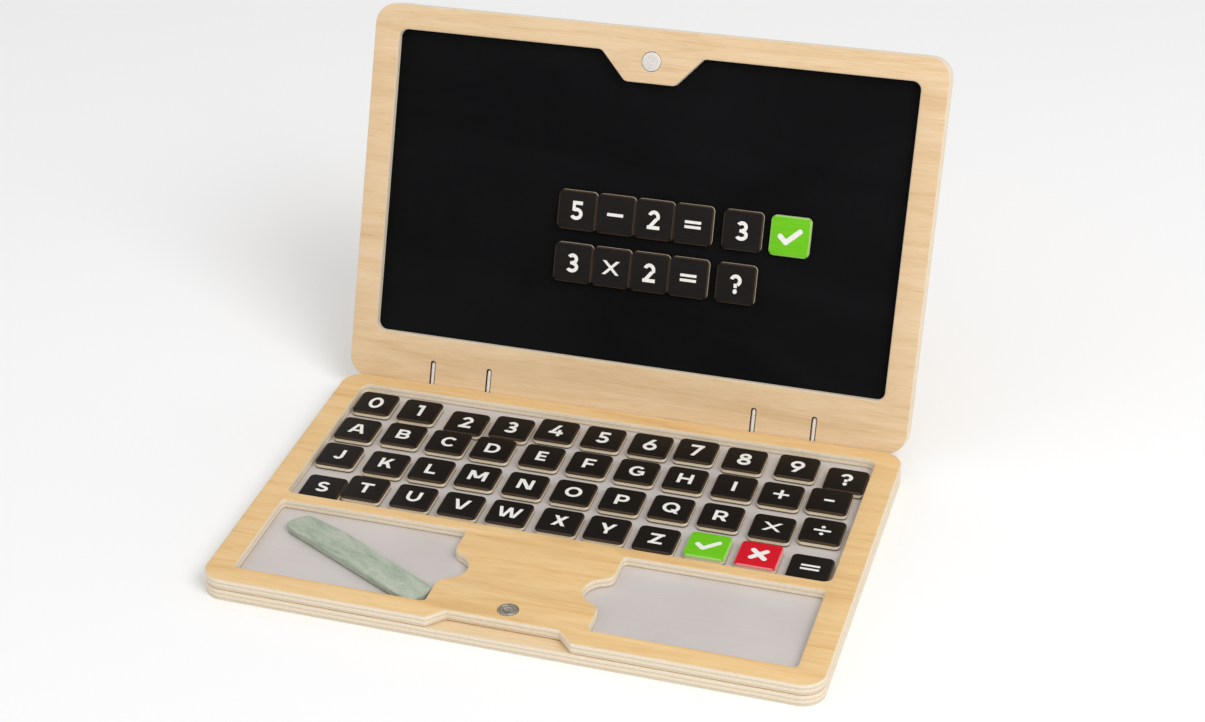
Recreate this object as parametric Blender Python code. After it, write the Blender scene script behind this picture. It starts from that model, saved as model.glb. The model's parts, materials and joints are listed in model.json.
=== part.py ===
"""A wooden toy laptop: a keyboard tray of loose magnetic tiles, and a chalkboard lid on elastic hinge cords.

Units are metres, +Z is up, +X runs to the user's right and +Y away from the user. The origin is at the
centre of the base's underside. The lid stands open, as far back as its lower edge lets it lean.
"""

import math

import bmesh
import bpy

# Base, seen from above
BASE_WIDTH = 0.330
BASE_DEPTH = 0.220
CASE_CORNER = 0.012
BOARD_THICKNESS = 0.0063
FRAME_THICKNESS = 0.0064
GLUE_GAP = 0.0003

# Steel sheet let into the back of each frame
SHEET_THICKNESS = 0.001
SHEET_LAP = 0.002
SHEET_CORNER = 0.002
SHEET_CLEARANCE = 0.0003

# Keyboard tray
TRAY_SIDE_BORDER = 0.014
TRAY_REAR_BORDER = 0.011
TRAY_LENGTH = 0.1205
TRAY_CORNER = 0.005

# Chalk and eraser compartments in front of the tray
BOX_SIDE_BORDER = 0.015
BOX_FRONT_BORDER = 0.0135
BOX_WIDTH = 0.1064
BOX_LENGTH = 0.067
BOX_CORNER = 0.0025
FINGER_RADIUS = 0.012
FINGER_FILLET = 0.0065

# Finger notch in the frame's front edge, for lifting the closed lid
NOTCH_HALF_INNER = 0.03025
NOTCH_HALF_OUTER = 0.0385
NOTCH_DEPTH = 0.0088
NOTCH_CORNER = 0.002

# Lid, as long as the base is deep
SCREEN_SIDE_BORDER = 0.015
SCREEN_TOP_BORDER = 0.014
SCREEN_BOTTOM_BORDER = 0.029
SCREEN_CORNER = 0.005
TAB_HALF_ROOT = 0.0295
TAB_HALF_TIP = 0.0145
TAB_DEPTH = 0.0165
TAB_FILLET = 0.004

# Hinge line, measured in and down from the base's upper rear edge
HINGE_INSET = 0.0006
HINGE_DROP = 0.00085
LID_GAP = 0.0004
OPEN_ANGLE = math.radians(110)

# Catch disc in the base, and the magnet that meets it in the lid's tab
CATCH_INSET = 0.0182
DISC_RADIUS = 0.0054
DISC_THICKNESS = 0.0036
DISC_CLEARANCE = 0.0003
DISC_BORE_DEPTH = 0.004
DISC_SINK = 0.0001
DIMPLE_RADIUS = 0.0022
DIMPLE_DEPTH = 0.0008

# Elastic hinge cords: one loop on the left, one on the right
CORD_RADIUS = 0.0011
CORD_CLEARANCE = 0.0005
CORD_BEND = CORD_RADIUS + CORD_CLEARANCE
CORD_RECESS = 0.0002
CORD_SINK = CORD_RADIUS + CORD_RECESS
CORD_INNER = 0.0785
CORD_OUTER = 0.113
CORD_HOLE_HEIGHT = 0.0135
CORD_RUN_INSET = 0.007
CORD_END_DROP = 0.0034

# Loose magnetic tiles
TILE_SIZE = 0.0227
TILE_THICKNESS = 0.0038
TILE_CORNER = 0.003
TILE_REST_GAP = 0.0003
TILE_JOIN = 0.0001

# Stick of chalk lying across the left compartment, from the front inner corner towards the rear outer one
CHALK_WIDTH = 0.019
CHALK_THICKNESS = 0.0042
CHALK_CORNER = 0.008
CHALK_WALL_GAP = 0.0004
CHALK_SIDE_ROOM = 0.0115
CHALK_REAR_ROOM = 0.0077

CUT_MARGIN = 0.005
ARC_STEP = math.radians(15)
CORD_ARC_STEP = math.radians(22.5)

BASE_TOP = BOARD_THICKNESS + GLUE_GAP + FRAME_THICKNESS
FRAME_UNDERSIDE = BOARD_THICKNESS + GLUE_GAP
TRAY_FLOOR = FRAME_UNDERSIDE + SHEET_THICKNESS
HALF_WIDTH = BASE_WIDTH / 2
HALF_DEPTH = BASE_DEPTH / 2
TRAY_HALF_WIDTH = HALF_WIDTH - TRAY_SIDE_BORDER
TRAY_REAR = HALF_DEPTH - TRAY_REAR_BORDER
TRAY_FRONT = TRAY_REAR - TRAY_LENGTH
BOX_FRONT = -HALF_DEPTH + BOX_FRONT_BORDER
BOX_MIDDLE = BOX_FRONT + BOX_LENGTH / 2
BOX_CENTRE = HALF_WIDTH - BOX_SIDE_BORDER - BOX_WIDTH / 2
LID_LENGTH = BASE_DEPTH

# In the lid's own axes X runs along the hinge, Y up the lid and Z out of the screen
FACE = -(HINGE_DROP + LID_GAP)
LID_FOOT = -HINGE_INSET
SHEET_FRONT = FACE - FRAME_THICKNESS + SHEET_THICKNESS
LID_BOARD_FRONT = FACE - FRAME_THICKNESS - GLUE_GAP
SCREEN_HALF_WIDTH = HALF_WIDTH - SCREEN_SIDE_BORDER
SCREEN_BOTTOM = LID_FOOT + SCREEN_BOTTOM_BORDER
SCREEN_TOP = LID_FOOT + LID_LENGTH - SCREEN_TOP_BORDER
MAGNET_HEIGHT = LID_FOOT + BASE_DEPTH - CATCH_INSET


def finish(name, colour, roughness, metallic=0.0):
    """A material with one Principled shader."""
    material = bpy.data.materials.new(name)
    material.use_nodes = True
    shader = material.node_tree.nodes["Principled BSDF"]
    shader.inputs["Base Color"].default_value = (*colour, 1)
    shader.inputs["Roughness"].default_value = roughness
    shader.inputs["Metallic"].default_value = metallic
    material.diffuse_color = (*colour, 1)
    return material


def arc(centre, radius, start, end, step=ARC_STEP):
    """Points along an arc, both ends included."""
    count = max(1, math.ceil(abs(end - start) / step - 1e-6))
    angles = [start + (end - start) * i / count for i in range(count + 1)]
    return [(centre[0] + radius * math.cos(a), centre[1] + radius * math.sin(a)) for a in angles]


def rounded(corners):
    """An outline through (x, y, radius) corners, each one turned into an arc of its radius."""
    points = []
    for i, (x, y, radius) in enumerate(corners):
        if radius == 0:
            points.append((x, y))
            continue
        before = math.atan2(corners[i - 1][1] - y, corners[i - 1][0] - x)
        after_corner = corners[(i + 1) % len(corners)]
        after = math.atan2(after_corner[1] - y, after_corner[0] - x)
        opening = (after - before + math.pi) % (2 * math.pi) - math.pi
        middle = before + opening / 2
        reach = radius / math.sin(abs(opening) / 2)
        centre = (x + reach * math.cos(middle), y + reach * math.sin(middle))
        turn = math.copysign(math.pi - abs(opening), -opening)
        start = before + math.copysign(math.pi / 2, -opening)
        points += arc(centre, radius, start, start + turn)
    return points


def rounded_box(low_x, low_y, high_x, high_y, radius):
    return rounded([(x, y, radius) for x, y in (
        (low_x, low_y), (high_x, low_y), (high_x, high_y), (low_x, high_y))])


def circle(x, y, radius, sides=24):
    return arc((x, y), radius, 0, math.tau, math.tau / sides)[:-1]


def prism(name, outline, low, high, material=None, parent=None, place=(0, 0, 0), turn=0.0):
    """An outline raised from one height to another, as one closed body."""
    mesh = bpy.data.meshes.new(name)
    shape = bmesh.new()
    face = shape.faces.new([shape.verts.new((x, y, low)) for x, y in outline])
    raised = bmesh.ops.extrude_face_region(shape, geom=[face])["geom"]
    top = [item for item in raised if isinstance(item, bmesh.types.BMVert)]
    bmesh.ops.translate(shape, verts=top, vec=(0, 0, high - low))
    bmesh.ops.recalc_face_normals(shape, faces=shape.faces)
    shape.to_mesh(mesh)
    shape.free()
    mesh.shade_smooth()
    mesh.set_sharp_from_angle(angle=math.radians(30))
    body = bpy.data.objects.new(name, mesh)
    body.location = place
    body.rotation_euler.z = turn
    body.parent = parent
    bpy.context.scene.collection.objects.link(body)
    if material:
        mesh.materials.append(material)
    return body


def shape_with(body, helper, operation):
    """Cuts a helper out of a body, or joins it on, and keeps the helper out of renders."""
    helper.hide_render = True
    helper.display_type = "WIRE"
    change = body.modifiers.new(helper.name, "BOOLEAN")
    change.object = helper
    change.operation = operation
    change.solver = "EXACT"


def cut(body, name, outline, low, high):
    shape_with(body, prism(name, outline, low, high, parent=body.parent), "DIFFERENCE")


def cord(name, points, material, parent=None):
    """A round elastic cord with flat ends along the points."""
    curve = bpy.data.curves.new(name, "CURVE")
    curve.dimensions = "3D"
    curve.bevel_depth = CORD_RADIUS
    curve.bevel_resolution = 2
    curve.use_fill_caps = True
    spline = curve.splines.new("POLY")
    spline.points.add(len(points) - 1)
    for point, place in zip(spline.points, points):
        point.co = (*place, 1)
    curve.materials.append(material)
    body = bpy.data.objects.new(name, curve)
    body.parent = parent
    bpy.context.scene.collection.objects.link(body)
    return body


for old in list(bpy.data.objects):
    bpy.data.objects.remove(old, do_unlink=True)

face_ply = finish("beech faced plywood", (0.70, 0.50, 0.29), 0.55)
back_ply = finish("plain plywood", (0.68, 0.49, 0.29), 0.6)
bare_steel = finish("bare steel sheet", (0.58, 0.55, 0.53), 0.45, 0.6)
blackboard = finish("blackboard painted steel", (0.008, 0.008, 0.010), 0.75)
grey_steel = finish("grey steel disc", (0.36, 0.32, 0.27), 0.4, 0.8)
elastic = finish("white elastic cord", (0.72, 0.70, 0.66), 0.85)
slate = finish("pale grey green chalk", (0.50, 0.55, 0.49), 0.7)
tile_black = finish("black magnetic tile", (0.013, 0.008, 0.006), 0.45)
tile_green = finish("green magnetic tile", (0.18, 0.56, 0.013), 0.45)
tile_red = finish("red magnetic tile", (0.72, 0.005, 0.021), 0.45)

case_outline = rounded_box(-HALF_WIDTH, -HALF_DEPTH, HALF_WIDTH, HALF_DEPTH, CASE_CORNER)


# Base: bottom board, with a channel for each hinge cord in its upper face

CHANNEL_DEPTH = 2 * CORD_RADIUS + CORD_CLEARANCE
RUN_Y = HALF_DEPTH - CORD_RUN_INSET


def channel(body, name, side, run, foot, low, high):
    """A U-shaped channel: a cross run between the cord's two legs, and the legs out through an edge."""
    inner = CORD_INNER - CORD_BEND
    outer = CORD_OUTER + CORD_BEND
    near = run - math.copysign(CORD_BEND, foot - run)
    far = run + math.copysign(CORD_BEND, foot - run)
    beyond = foot + math.copysign(CUT_MARGIN, foot - run)
    corners = [(outer, beyond), (outer, near), (inner, near), (inner, beyond)]
    corners += [(CORD_INNER + CORD_BEND, beyond), (CORD_INNER + CORD_BEND, far)]
    corners += [(CORD_OUTER - CORD_BEND, far), (CORD_OUTER - CORD_BEND, beyond)]
    cut(body, name, [(side * x, y) for x, y in corners], low, high)


bottom_board = prism("base_bottom_board", case_outline, 0, BOARD_THICKNESS, back_ply)
for side, side_name in ((-1, "left"), (1, "right")):
    channel(bottom_board, "base_cord_channel_" + side_name, side, RUN_Y, HALF_DEPTH,
            BOARD_THICKNESS - CHANNEL_DEPTH, BOARD_THICKNESS + CUT_MARGIN)


# Base: frame, with the tray, two compartments, finger notch, catch bore and sheet rebate

def compartment_outline(side):
    """A compartment whose inner side wall swells into a half round finger space."""
    half = BOX_WIDTH / 2
    low = -BOX_LENGTH / 2
    high = BOX_LENGTH / 2
    rise = math.sqrt((FINGER_RADIUS + FINGER_FILLET) ** 2 - FINGER_FILLET ** 2)
    lean = math.atan2(rise, FINGER_FILLET)
    corner = BOX_CORNER
    points = arc((half - corner, low + corner), corner, -math.pi / 2, 0)
    points += arc((half + FINGER_FILLET, -rise), FINGER_FILLET, math.pi, math.pi - lean)[:-1]
    points += arc((half, 0), FINGER_RADIUS, -lean, lean)[:-1]
    points += arc((half + FINGER_FILLET, rise), FINGER_FILLET, math.pi + lean, math.pi)
    points += arc((half - corner, high - corner), corner, 0, math.pi / 2)
    points += arc((corner - half, high - corner), corner, math.pi / 2, math.pi)
    points += arc((corner - half, low + corner), corner, math.pi, 1.5 * math.pi)
    return [(side * (BOX_CENTRE - x), y + BOX_MIDDLE) for x, y in points]


SHEET_HALF_WIDTH = TRAY_HALF_WIDTH + SHEET_LAP
BASE_SHEET = (-SHEET_HALF_WIDTH, BOX_FRONT - SHEET_LAP, SHEET_HALF_WIDTH, TRAY_REAR + SHEET_LAP)


def grown(box, by):
    return (box[0] - by, box[1] - by, box[2] + by, box[3] + by)


frame = prism("base_frame", case_outline, FRAME_UNDERSIDE, BASE_TOP, face_ply)
through = (FRAME_UNDERSIDE - CUT_MARGIN, BASE_TOP + CUT_MARGIN)
cut(frame, "sheet_rebate", rounded_box(*grown(BASE_SHEET, SHEET_CLEARANCE), SHEET_CORNER),
    FRAME_UNDERSIDE - CUT_MARGIN, TRAY_FLOOR + SHEET_CLEARANCE)
cut(frame, "tray_opening", rounded_box(-TRAY_HALF_WIDTH, TRAY_FRONT, TRAY_HALF_WIDTH, TRAY_REAR,
                                       TRAY_CORNER), *through)
cut(frame, "left_compartment", compartment_outline(-1), *through)
cut(frame, "right_compartment", compartment_outline(1), *through)
cut(frame, "finger_notch", rounded([
    (-NOTCH_HALF_OUTER, -HALF_DEPTH - CUT_MARGIN, 0), (NOTCH_HALF_OUTER, -HALF_DEPTH - CUT_MARGIN, 0),
    (NOTCH_HALF_OUTER, -HALF_DEPTH, 0), (NOTCH_HALF_INNER, NOTCH_DEPTH - HALF_DEPTH, NOTCH_CORNER),
    (-NOTCH_HALF_INNER, NOTCH_DEPTH - HALF_DEPTH, NOTCH_CORNER), (-NOTCH_HALF_OUTER, -HALF_DEPTH, 0),
]), *through)
cut(frame, "catch_bore", circle(0, CATCH_INSET - HALF_DEPTH, DISC_RADIUS + DISC_CLEARANCE),
    BASE_TOP - DISC_BORE_DEPTH, BASE_TOP + CUT_MARGIN)


# Base: steel sheet that the tiles and chalk lie on, and the catch disc

prism("base_steel_sheet", rounded_box(*BASE_SHEET, SHEET_CORNER), FRAME_UNDERSIDE, TRAY_FLOOR, bare_steel)


def disc(name, x, y, face, material, parent=None):
    """A round disc just under a face, with a small dimple in its middle."""
    top = face - DISC_SINK
    body = prism(name, circle(x, y, DISC_RADIUS), top - DISC_THICKNESS, top, material, parent)
    cut(body, name + "_dimple", circle(x, y, DIMPLE_RADIUS, 16), top - DIMPLE_DEPTH, top + CUT_MARGIN)


disc("base_catch", 0, CATCH_INSET - HALF_DEPTH, BASE_TOP, grey_steel)


# Lid, on an empty at the hinge line

hinge = bpy.data.objects.new("lid_hinge", None)
hinge.location = (0, HALF_DEPTH - HINGE_INSET, BASE_TOP - HINGE_DROP)
hinge.rotation_euler.x = math.pi - OPEN_ANGLE
bpy.context.scene.collection.objects.link(hinge)

lid_outline = rounded_box(-HALF_WIDTH, LID_FOOT, HALF_WIDTH, LID_FOOT + LID_LENGTH, CASE_CORNER)
LID_SHEET = (-SCREEN_HALF_WIDTH - SHEET_LAP, SCREEN_BOTTOM - SHEET_LAP,
             SCREEN_HALF_WIDTH + SHEET_LAP, SCREEN_TOP + SHEET_LAP)
CORD_HOLE = LID_FOOT + CORD_HOLE_HEIGHT

lid_frame = prism("lid_frame", lid_outline, FACE - FRAME_THICKNESS, FACE, face_ply, hinge)
lid_through = (FACE - FRAME_THICKNESS - CUT_MARGIN, FACE + CUT_MARGIN)
cut(lid_frame, "lid_sheet_rebate", rounded_box(*grown(LID_SHEET, SHEET_CLEARANCE), SHEET_CORNER),
    FACE - FRAME_THICKNESS - CUT_MARGIN, SHEET_FRONT + SHEET_CLEARANCE)
cut(lid_frame, "screen_opening", rounded([
    (-SCREEN_HALF_WIDTH, SCREEN_BOTTOM, SCREEN_CORNER), (SCREEN_HALF_WIDTH, SCREEN_BOTTOM, SCREEN_CORNER),
    (SCREEN_HALF_WIDTH, SCREEN_TOP, SCREEN_CORNER), (TAB_HALF_ROOT, SCREEN_TOP, TAB_FILLET),
    (TAB_HALF_TIP, SCREEN_TOP - TAB_DEPTH, TAB_FILLET), (-TAB_HALF_TIP, SCREEN_TOP - TAB_DEPTH, TAB_FILLET),
    (-TAB_HALF_ROOT, SCREEN_TOP, TAB_FILLET), (-SCREEN_HALF_WIDTH, SCREEN_TOP, SCREEN_CORNER),
]), *lid_through)
cut(lid_frame, "magnet_bore", circle(0, MAGNET_HEIGHT, DISC_RADIUS + DISC_CLEARANCE),
    FACE - DISC_BORE_DEPTH, FACE + CUT_MARGIN)
for side, side_name in ((-1, "left"), (1, "right")):
    for across, which in ((CORD_INNER, "inner"), (CORD_OUTER, "outer")):
        x = side * across
        groove = [(x - CORD_BEND, LID_FOOT - CUT_MARGIN), (x + CORD_BEND, LID_FOOT - CUT_MARGIN)]
        groove += arc((x, CORD_HOLE), CORD_BEND, 0, math.pi)
        cut(lid_frame, f"groove_{side_name}_{which}", groove,
            FACE - CORD_SINK - CORD_BEND, FACE + CUT_MARGIN)
        cut(lid_frame, f"cord_hole_{side_name}_{which}", circle(x, CORD_HOLE, CORD_BEND, 16), *lid_through)

prism("lid_chalkboard_sheet", rounded_box(*LID_SHEET, SHEET_CORNER), SHEET_FRONT - SHEET_THICKNESS,
      SHEET_FRONT, blackboard, hinge)

lid_board = prism("lid_back_board", lid_outline, LID_BOARD_FRONT - BOARD_THICKNESS, LID_BOARD_FRONT,
                  back_ply, hinge)
for side, side_name in ((-1, "left"), (1, "right")):
    x = side * (CORD_INNER + CORD_OUTER) / 2
    reach = (CORD_OUTER - CORD_INNER) / 2 + CORD_BEND
    cut(lid_board, "lid_cord_channel_" + side_name,
        rounded_box(x - reach, CORD_HOLE - CORD_BEND, x + reach, CORD_HOLE + CORD_BEND, CORD_BEND),
        LID_BOARD_FRONT - CHANNEL_DEPTH, LID_BOARD_FRONT + CUT_MARGIN)

disc("lid_magnet", 0, MAGNET_HEIGHT, FACE, grey_steel, hinge)


# Hinge cords: each loop is in two halves that meet where the lid's foot meets the base's rear edge

def bend(corner, before, after):
    """Points round a right-angled corner, leaving the line from before and joining the line to after."""
    first = [a - c for a, c in zip(before, corner)]
    last = [a - c for a, c in zip(after, corner)]
    reach = [math.sqrt(sum(v * v for v in line)) for line in (first, last)]
    first = [v / reach[0] for v in first]
    last = [v / reach[1] for v in last]
    turns = round(math.pi / 2 / CORD_ARC_STEP)
    angles = [i * math.pi / 2 / turns for i in range(turns + 1)]
    return [[c + CORD_BEND * (f * (1 - math.sin(a)) + b * (1 - math.cos(a)))
             for c, f, b in zip(corner, first, last)] for a in angles]


def loop(corners):
    """A route through right-angled corners, with both of its ends."""
    points = [corners[0]]
    for i in range(1, len(corners) - 1):
        points += bend(corners[i], corners[i - 1], corners[i + 1])
    return points + [corners[-1]]


def lid_route(side):
    foot = LID_FOOT + CORD_CLEARANCE
    front = FACE - CORD_SINK
    back = FACE - FRAME_THICKNESS - CORD_BEND
    near, far = side * CORD_INNER, side * CORD_OUTER
    return loop([(near, foot, front), (near, CORD_HOLE, front), (near, CORD_HOLE, back),
                 (far, CORD_HOLE, back), (far, CORD_HOLE, front), (far, foot, front)])


def base_route(side):
    height = BOARD_THICKNESS - CORD_RADIUS
    behind = HALF_DEPTH + CORD_BEND
    top = BASE_TOP - CORD_END_DROP
    near, far = side * CORD_INNER, side * CORD_OUTER
    return loop([(near, behind, top), (near, behind, height), (near, RUN_Y, height),
                 (far, RUN_Y, height), (far, behind, height), (far, behind, top)])


for side, side_name in ((-1, "left"), (1, "right")):
    cord("hinge_cord_lid_half_" + side_name, lid_route(side), elastic, hinge)
    cord("hinge_cord_base_half_" + side_name, base_route(side), elastic)


# Stick of chalk, against the front and inner walls of the left compartment

chalk_across = BOX_WIDTH - CHALK_WIDTH - CHALK_SIDE_ROOM
chalk_back = BOX_LENGTH - CHALK_WIDTH - CHALK_REAR_ROOM
chalk_length = math.hypot(chalk_across, chalk_back) + CHALK_WIDTH
chalk_turn = -math.atan2(chalk_back, chalk_across)
half_long = chalk_length / 2 - CHALK_CORNER
half_wide = CHALK_WIDTH / 2 - CHALK_CORNER
reach_x = half_long * math.cos(chalk_turn) + half_wide * abs(math.sin(chalk_turn)) + CHALK_CORNER
reach_y = half_long * abs(math.sin(chalk_turn)) + half_wide * math.cos(chalk_turn) + CHALK_CORNER
chalk_place = (BOX_WIDTH / 2 - BOX_CENTRE - CHALK_WALL_GAP - reach_x,
               BOX_FRONT + CHALK_WALL_GAP + reach_y, TRAY_FLOOR + TILE_REST_GAP)
prism("chalk", rounded_box(-chalk_length / 2, -CHALK_WIDTH / 2, chalk_length / 2, CHALK_WIDTH / 2,
                           CHALK_CORNER), 0, CHALK_THICKNESS, slate, None, chalk_place, chalk_turn)


# Loose tiles. A piece's origin is on its underside, and it lifts off along its own Z

tile_outline = rounded_box(-TILE_SIZE / 2, -TILE_SIZE / 2, TILE_SIZE / 2, TILE_SIZE / 2, TILE_CORNER)
TOUCH = TILE_SIZE - TILE_JOIN
TILE_FINISHES = {"tick": tile_green, "cross": tile_red}


def tiles(name, place, steps=(), parent=None):
    """One tile, or a run of tiles that touch, each (x, y) step away from the one before."""
    material = TILE_FINISHES.get(name.split("_")[-1], tile_black)
    body = prism(name, tile_outline, 0, TILE_THICKNESS, material, parent, place)
    x, y, z = place
    for number, (across, along) in enumerate(steps):
        x += across
        y += along
        helper = prism(f"{name}_with_{number + 2}", tile_outline, 0, TILE_THICKNESS, material, parent,
                       (x, y, z))
        shape_with(body, helper, "UNION")


KEYBOARD = (
    ("0", "1", "2", "3", "4", "5", "6", "7", "8", "9", "query"),
    ("A", "B", "C", "D", "E", "F", "G", "H", "I", "plus", "minus"),
    ("J", "K", "L", "M", "N", "O", "P", "Q", "R", "times", "divide"),
    ("S", "T", "U", "V", "W", "X", "Y", "Z", "tick", "cross", "equals"),
)
# Places are shares of the free room between neighbours, so tiles of another size still lie clear.
# Each row's shift from the middle of its quarter of the tray, to the rear
ROW_SHIFT = (-0.2, 0.05, 0.05, 0.2)
# How far a tile has slid from its place in its row, to the right and to the rear
SLID = {
    "1": (0.0, -0.15), "3": (0.4, -0.55), "7": (-0.3, 0.2), "8": (-0.2, 0.0), "9": (0.2, 0.1),
    "A": (0.0, -0.2), "C": (-0.1, -0.05), "D": (-0.3, 0.0), "plus": (-0.3, -0.1), "minus": (-0.6, 0.1),
    "K": (0.25, -0.15), "M": (-0.1, 0.1), "times": (0.2, -0.35), "divide": (-0.1, 0.2),
    "T": (-0.2, 0.1), "X": (0.2, 0.0), "Z": (0.0, -0.25), "cross": (0.0, -0.1),
}
# Tiles that have slid all the way to the front lip of the tray, and how far to the right
AT_LIP = {"S": 0.7, "equals": 0.1}
# A tile that touches the one in front of it makes one body with it: (rear tile, slide to the right)
TOUCHING = {"C": ("2", 0.7), "minus": ("query", 0.95)}

column_pitch = 2 * TRAY_HALF_WIDTH / len(KEYBOARD[0])
row_pitch = TRAY_LENGTH / len(KEYBOARD)
room_across = column_pitch - TILE_SIZE
room_back = row_pitch - TILE_SIZE
joined = [rear for rear, _ in TOUCHING.values()]


def corner_room(x):
    """How far from the lip a tile this near a side wall keeps, to clear the tray's round corner."""
    aside = TRAY_HALF_WIDTH - abs(x) - TILE_SIZE / 2
    radius = TRAY_CORNER - TILE_CORNER
    short = max(radius - aside, 0)
    return radius - math.sqrt(radius ** 2 - short ** 2)


for row, (names, shift) in enumerate(zip(KEYBOARD, ROW_SHIFT)):
    for column, key in enumerate(names):
        if key in joined:
            continue
        across, back = SLID.get(key, (0.0, 0.0))
        x = (column + 0.5) * column_pitch - TRAY_HALF_WIDTH + across * room_across
        y = TRAY_REAR - (row + 0.5) * row_pitch + (shift + back) * room_back
        if key in AT_LIP:
            x += AT_LIP[key] * room_across
            y = TRAY_FRONT + TILE_SIZE / 2 + TILE_REST_GAP + corner_room(x)
        place = (x, y, TRAY_FLOOR + TILE_REST_GAP)
        if key in TOUCHING:
            rear, rear_across = TOUCHING[key]
            tiles(f"tile_{key}_and_{rear}", place, [(rear_across * room_across, TOUCH)])
        else:
            tiles(f"tile_{key}", place)


# Tiles on the screen: two rows, each of four touching tiles and then single ones

LOWER_ROW = 0.0832
ROW_SPACE = 0.0076
UPPER_START = -0.0352
LOWER_START = -0.0348
UPPER_SPACES = (0.0055, 0.0043)
LOWER_SPACE = 0.0045
on_screen = SHEET_FRONT + TILE_REST_GAP
run = [(TOUCH, 0.0)] * 3
run_length = 3 * TOUCH + TILE_SIZE
lower = LID_FOOT + LOWER_ROW
upper = lower + TILE_SIZE + ROW_SPACE
answer = UPPER_START + run_length + UPPER_SPACES[0]
mark = answer + TILE_SIZE + UPPER_SPACES[1]
tiles("screen_tiles_5_minus_2_equals", (UPPER_START, upper, on_screen), run, hinge)
tiles("screen_tile_3", (answer, upper, on_screen), (), hinge)
tiles("screen_tile_tick", (mark, upper, on_screen), (), hinge)
tiles("screen_tiles_3_times_2_equals", (LOWER_START, lower, on_screen), run, hinge)
tiles("screen_tile_query", (LOWER_START + run_length + LOWER_SPACE, lower, on_screen), (), hinge)
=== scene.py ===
"""Looks of the wooden toy laptop: plywood case, chalkboard lid, cord hinges, magnetic tiles and chalk.

Metres, +Z up, +X to the user's right and +Y away from the user. The origin is at the centre of the base's
underside, as in the frame.
"""

import json
import math

import bmesh
import bpy
from mathutils import Euler, Matrix, Vector
from mathutils.geometry import delaunay_2d_cdt


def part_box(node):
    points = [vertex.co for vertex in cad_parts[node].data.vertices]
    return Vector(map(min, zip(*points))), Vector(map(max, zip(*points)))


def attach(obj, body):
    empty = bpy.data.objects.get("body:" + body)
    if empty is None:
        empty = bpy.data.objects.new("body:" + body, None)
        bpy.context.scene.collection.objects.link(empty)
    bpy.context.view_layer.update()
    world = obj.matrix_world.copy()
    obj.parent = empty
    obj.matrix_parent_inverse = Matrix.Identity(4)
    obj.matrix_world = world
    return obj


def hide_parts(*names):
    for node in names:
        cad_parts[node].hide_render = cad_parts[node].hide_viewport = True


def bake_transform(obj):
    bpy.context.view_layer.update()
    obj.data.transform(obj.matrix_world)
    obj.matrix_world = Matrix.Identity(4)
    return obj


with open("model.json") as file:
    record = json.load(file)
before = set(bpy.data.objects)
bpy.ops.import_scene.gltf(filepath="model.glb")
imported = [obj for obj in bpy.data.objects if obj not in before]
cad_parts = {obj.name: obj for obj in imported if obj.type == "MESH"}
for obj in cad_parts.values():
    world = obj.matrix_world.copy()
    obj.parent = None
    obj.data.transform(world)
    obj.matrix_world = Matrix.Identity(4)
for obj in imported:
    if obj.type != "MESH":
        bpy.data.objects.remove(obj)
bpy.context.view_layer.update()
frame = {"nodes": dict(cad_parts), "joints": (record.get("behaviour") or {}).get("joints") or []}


# Bottom board of the base: a plain birch plywood board, sawn to the outline of the case, with its corners
# rounded and its edges eased by sanding. The frame is glued on top of it, and the hinge cords run between.

MM = 0.001
base_low, base_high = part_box("base_frame")
board_low, board_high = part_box("base_bottom_board")
HALF_WIDTH = (base_high.x - base_low.x) / 2
HALF_DEPTH = (base_high.y - base_low.y) / 2
CASE_CORNER = 12 * MM
BOARD_EASE = 0.6 * MM
PLY_LAYER = 1.3 * MM
WELD = 1e-6


NOISE, WAVE, RAMP = "ShaderNodeTexNoise", "ShaderNodeTexWave", "ShaderNodeValToRGB"
RANGE, MATH, MIX = "ShaderNodeMapRange", "ShaderNodeMath", "ShaderNodeMix"
MAPPING, BUMP, COORDINATES = "ShaderNodeMapping", "ShaderNodeBump", "ShaderNodeTexCoord"
ATTRIBUTE, SPLIT = "ShaderNodeAttribute", "ShaderNodeSeparateXYZ"
BLEND = {"data_type": "RGBA", "blend_type": "MIX"}
MULTIPLY = {"data_type": "RGBA", "blend_type": "MULTIPLY"}
NOISE_SPAN = {"From_Min": 0.3, "From_Max": 0.7}


def linear(code):
    """An sRGB hex colour as linear values for a shader."""
    values = [int(code[i:i + 2], 16) / 255 for i in (1, 3, 5)]
    return [v / 12.92 if v <= 0.04045 else ((v + 0.055) / 1.055) ** 2.4 for v in values] + [1]


def connect(node, **inputs):
    """Sets each input to a value, or links it from a socket or from another node's first output."""
    for name, value in inputs.items():
        socket = node.inputs[int(name[1:]) if name[0] == "_" else name.replace("_", " ")]
        if isinstance(value, bpy.types.Node):
            value = value.outputs[0]
        if isinstance(value, bpy.types.NodeSocket):
            node.id_data.links.new(value, socket)
        else:
            socket.default_value = value


def add(tree, kind, settings=None, stops=(), **inputs):
    """A node with its settings, its ramp's (position, hex colour) stops, and its inputs connected."""
    node = tree.nodes.new(kind)
    for name, value in (settings or {}).items():
        setattr(node, name, value)
    if stops:
        elements = node.color_ramp.elements
        while len(elements) < len(stops):
            elements.new(0.5)
        for element, (position, code) in zip(elements, stops):
            element.position = position
            element.color = linear(code)
    connect(node, **inputs)
    return node


def material(name):
    """An empty material: its node tree and its Principled shader."""
    made = bpy.data.materials.new(name)
    made.use_nodes = True
    return made, made.node_tree, made.node_tree.nodes["Principled BSDF"]


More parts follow.
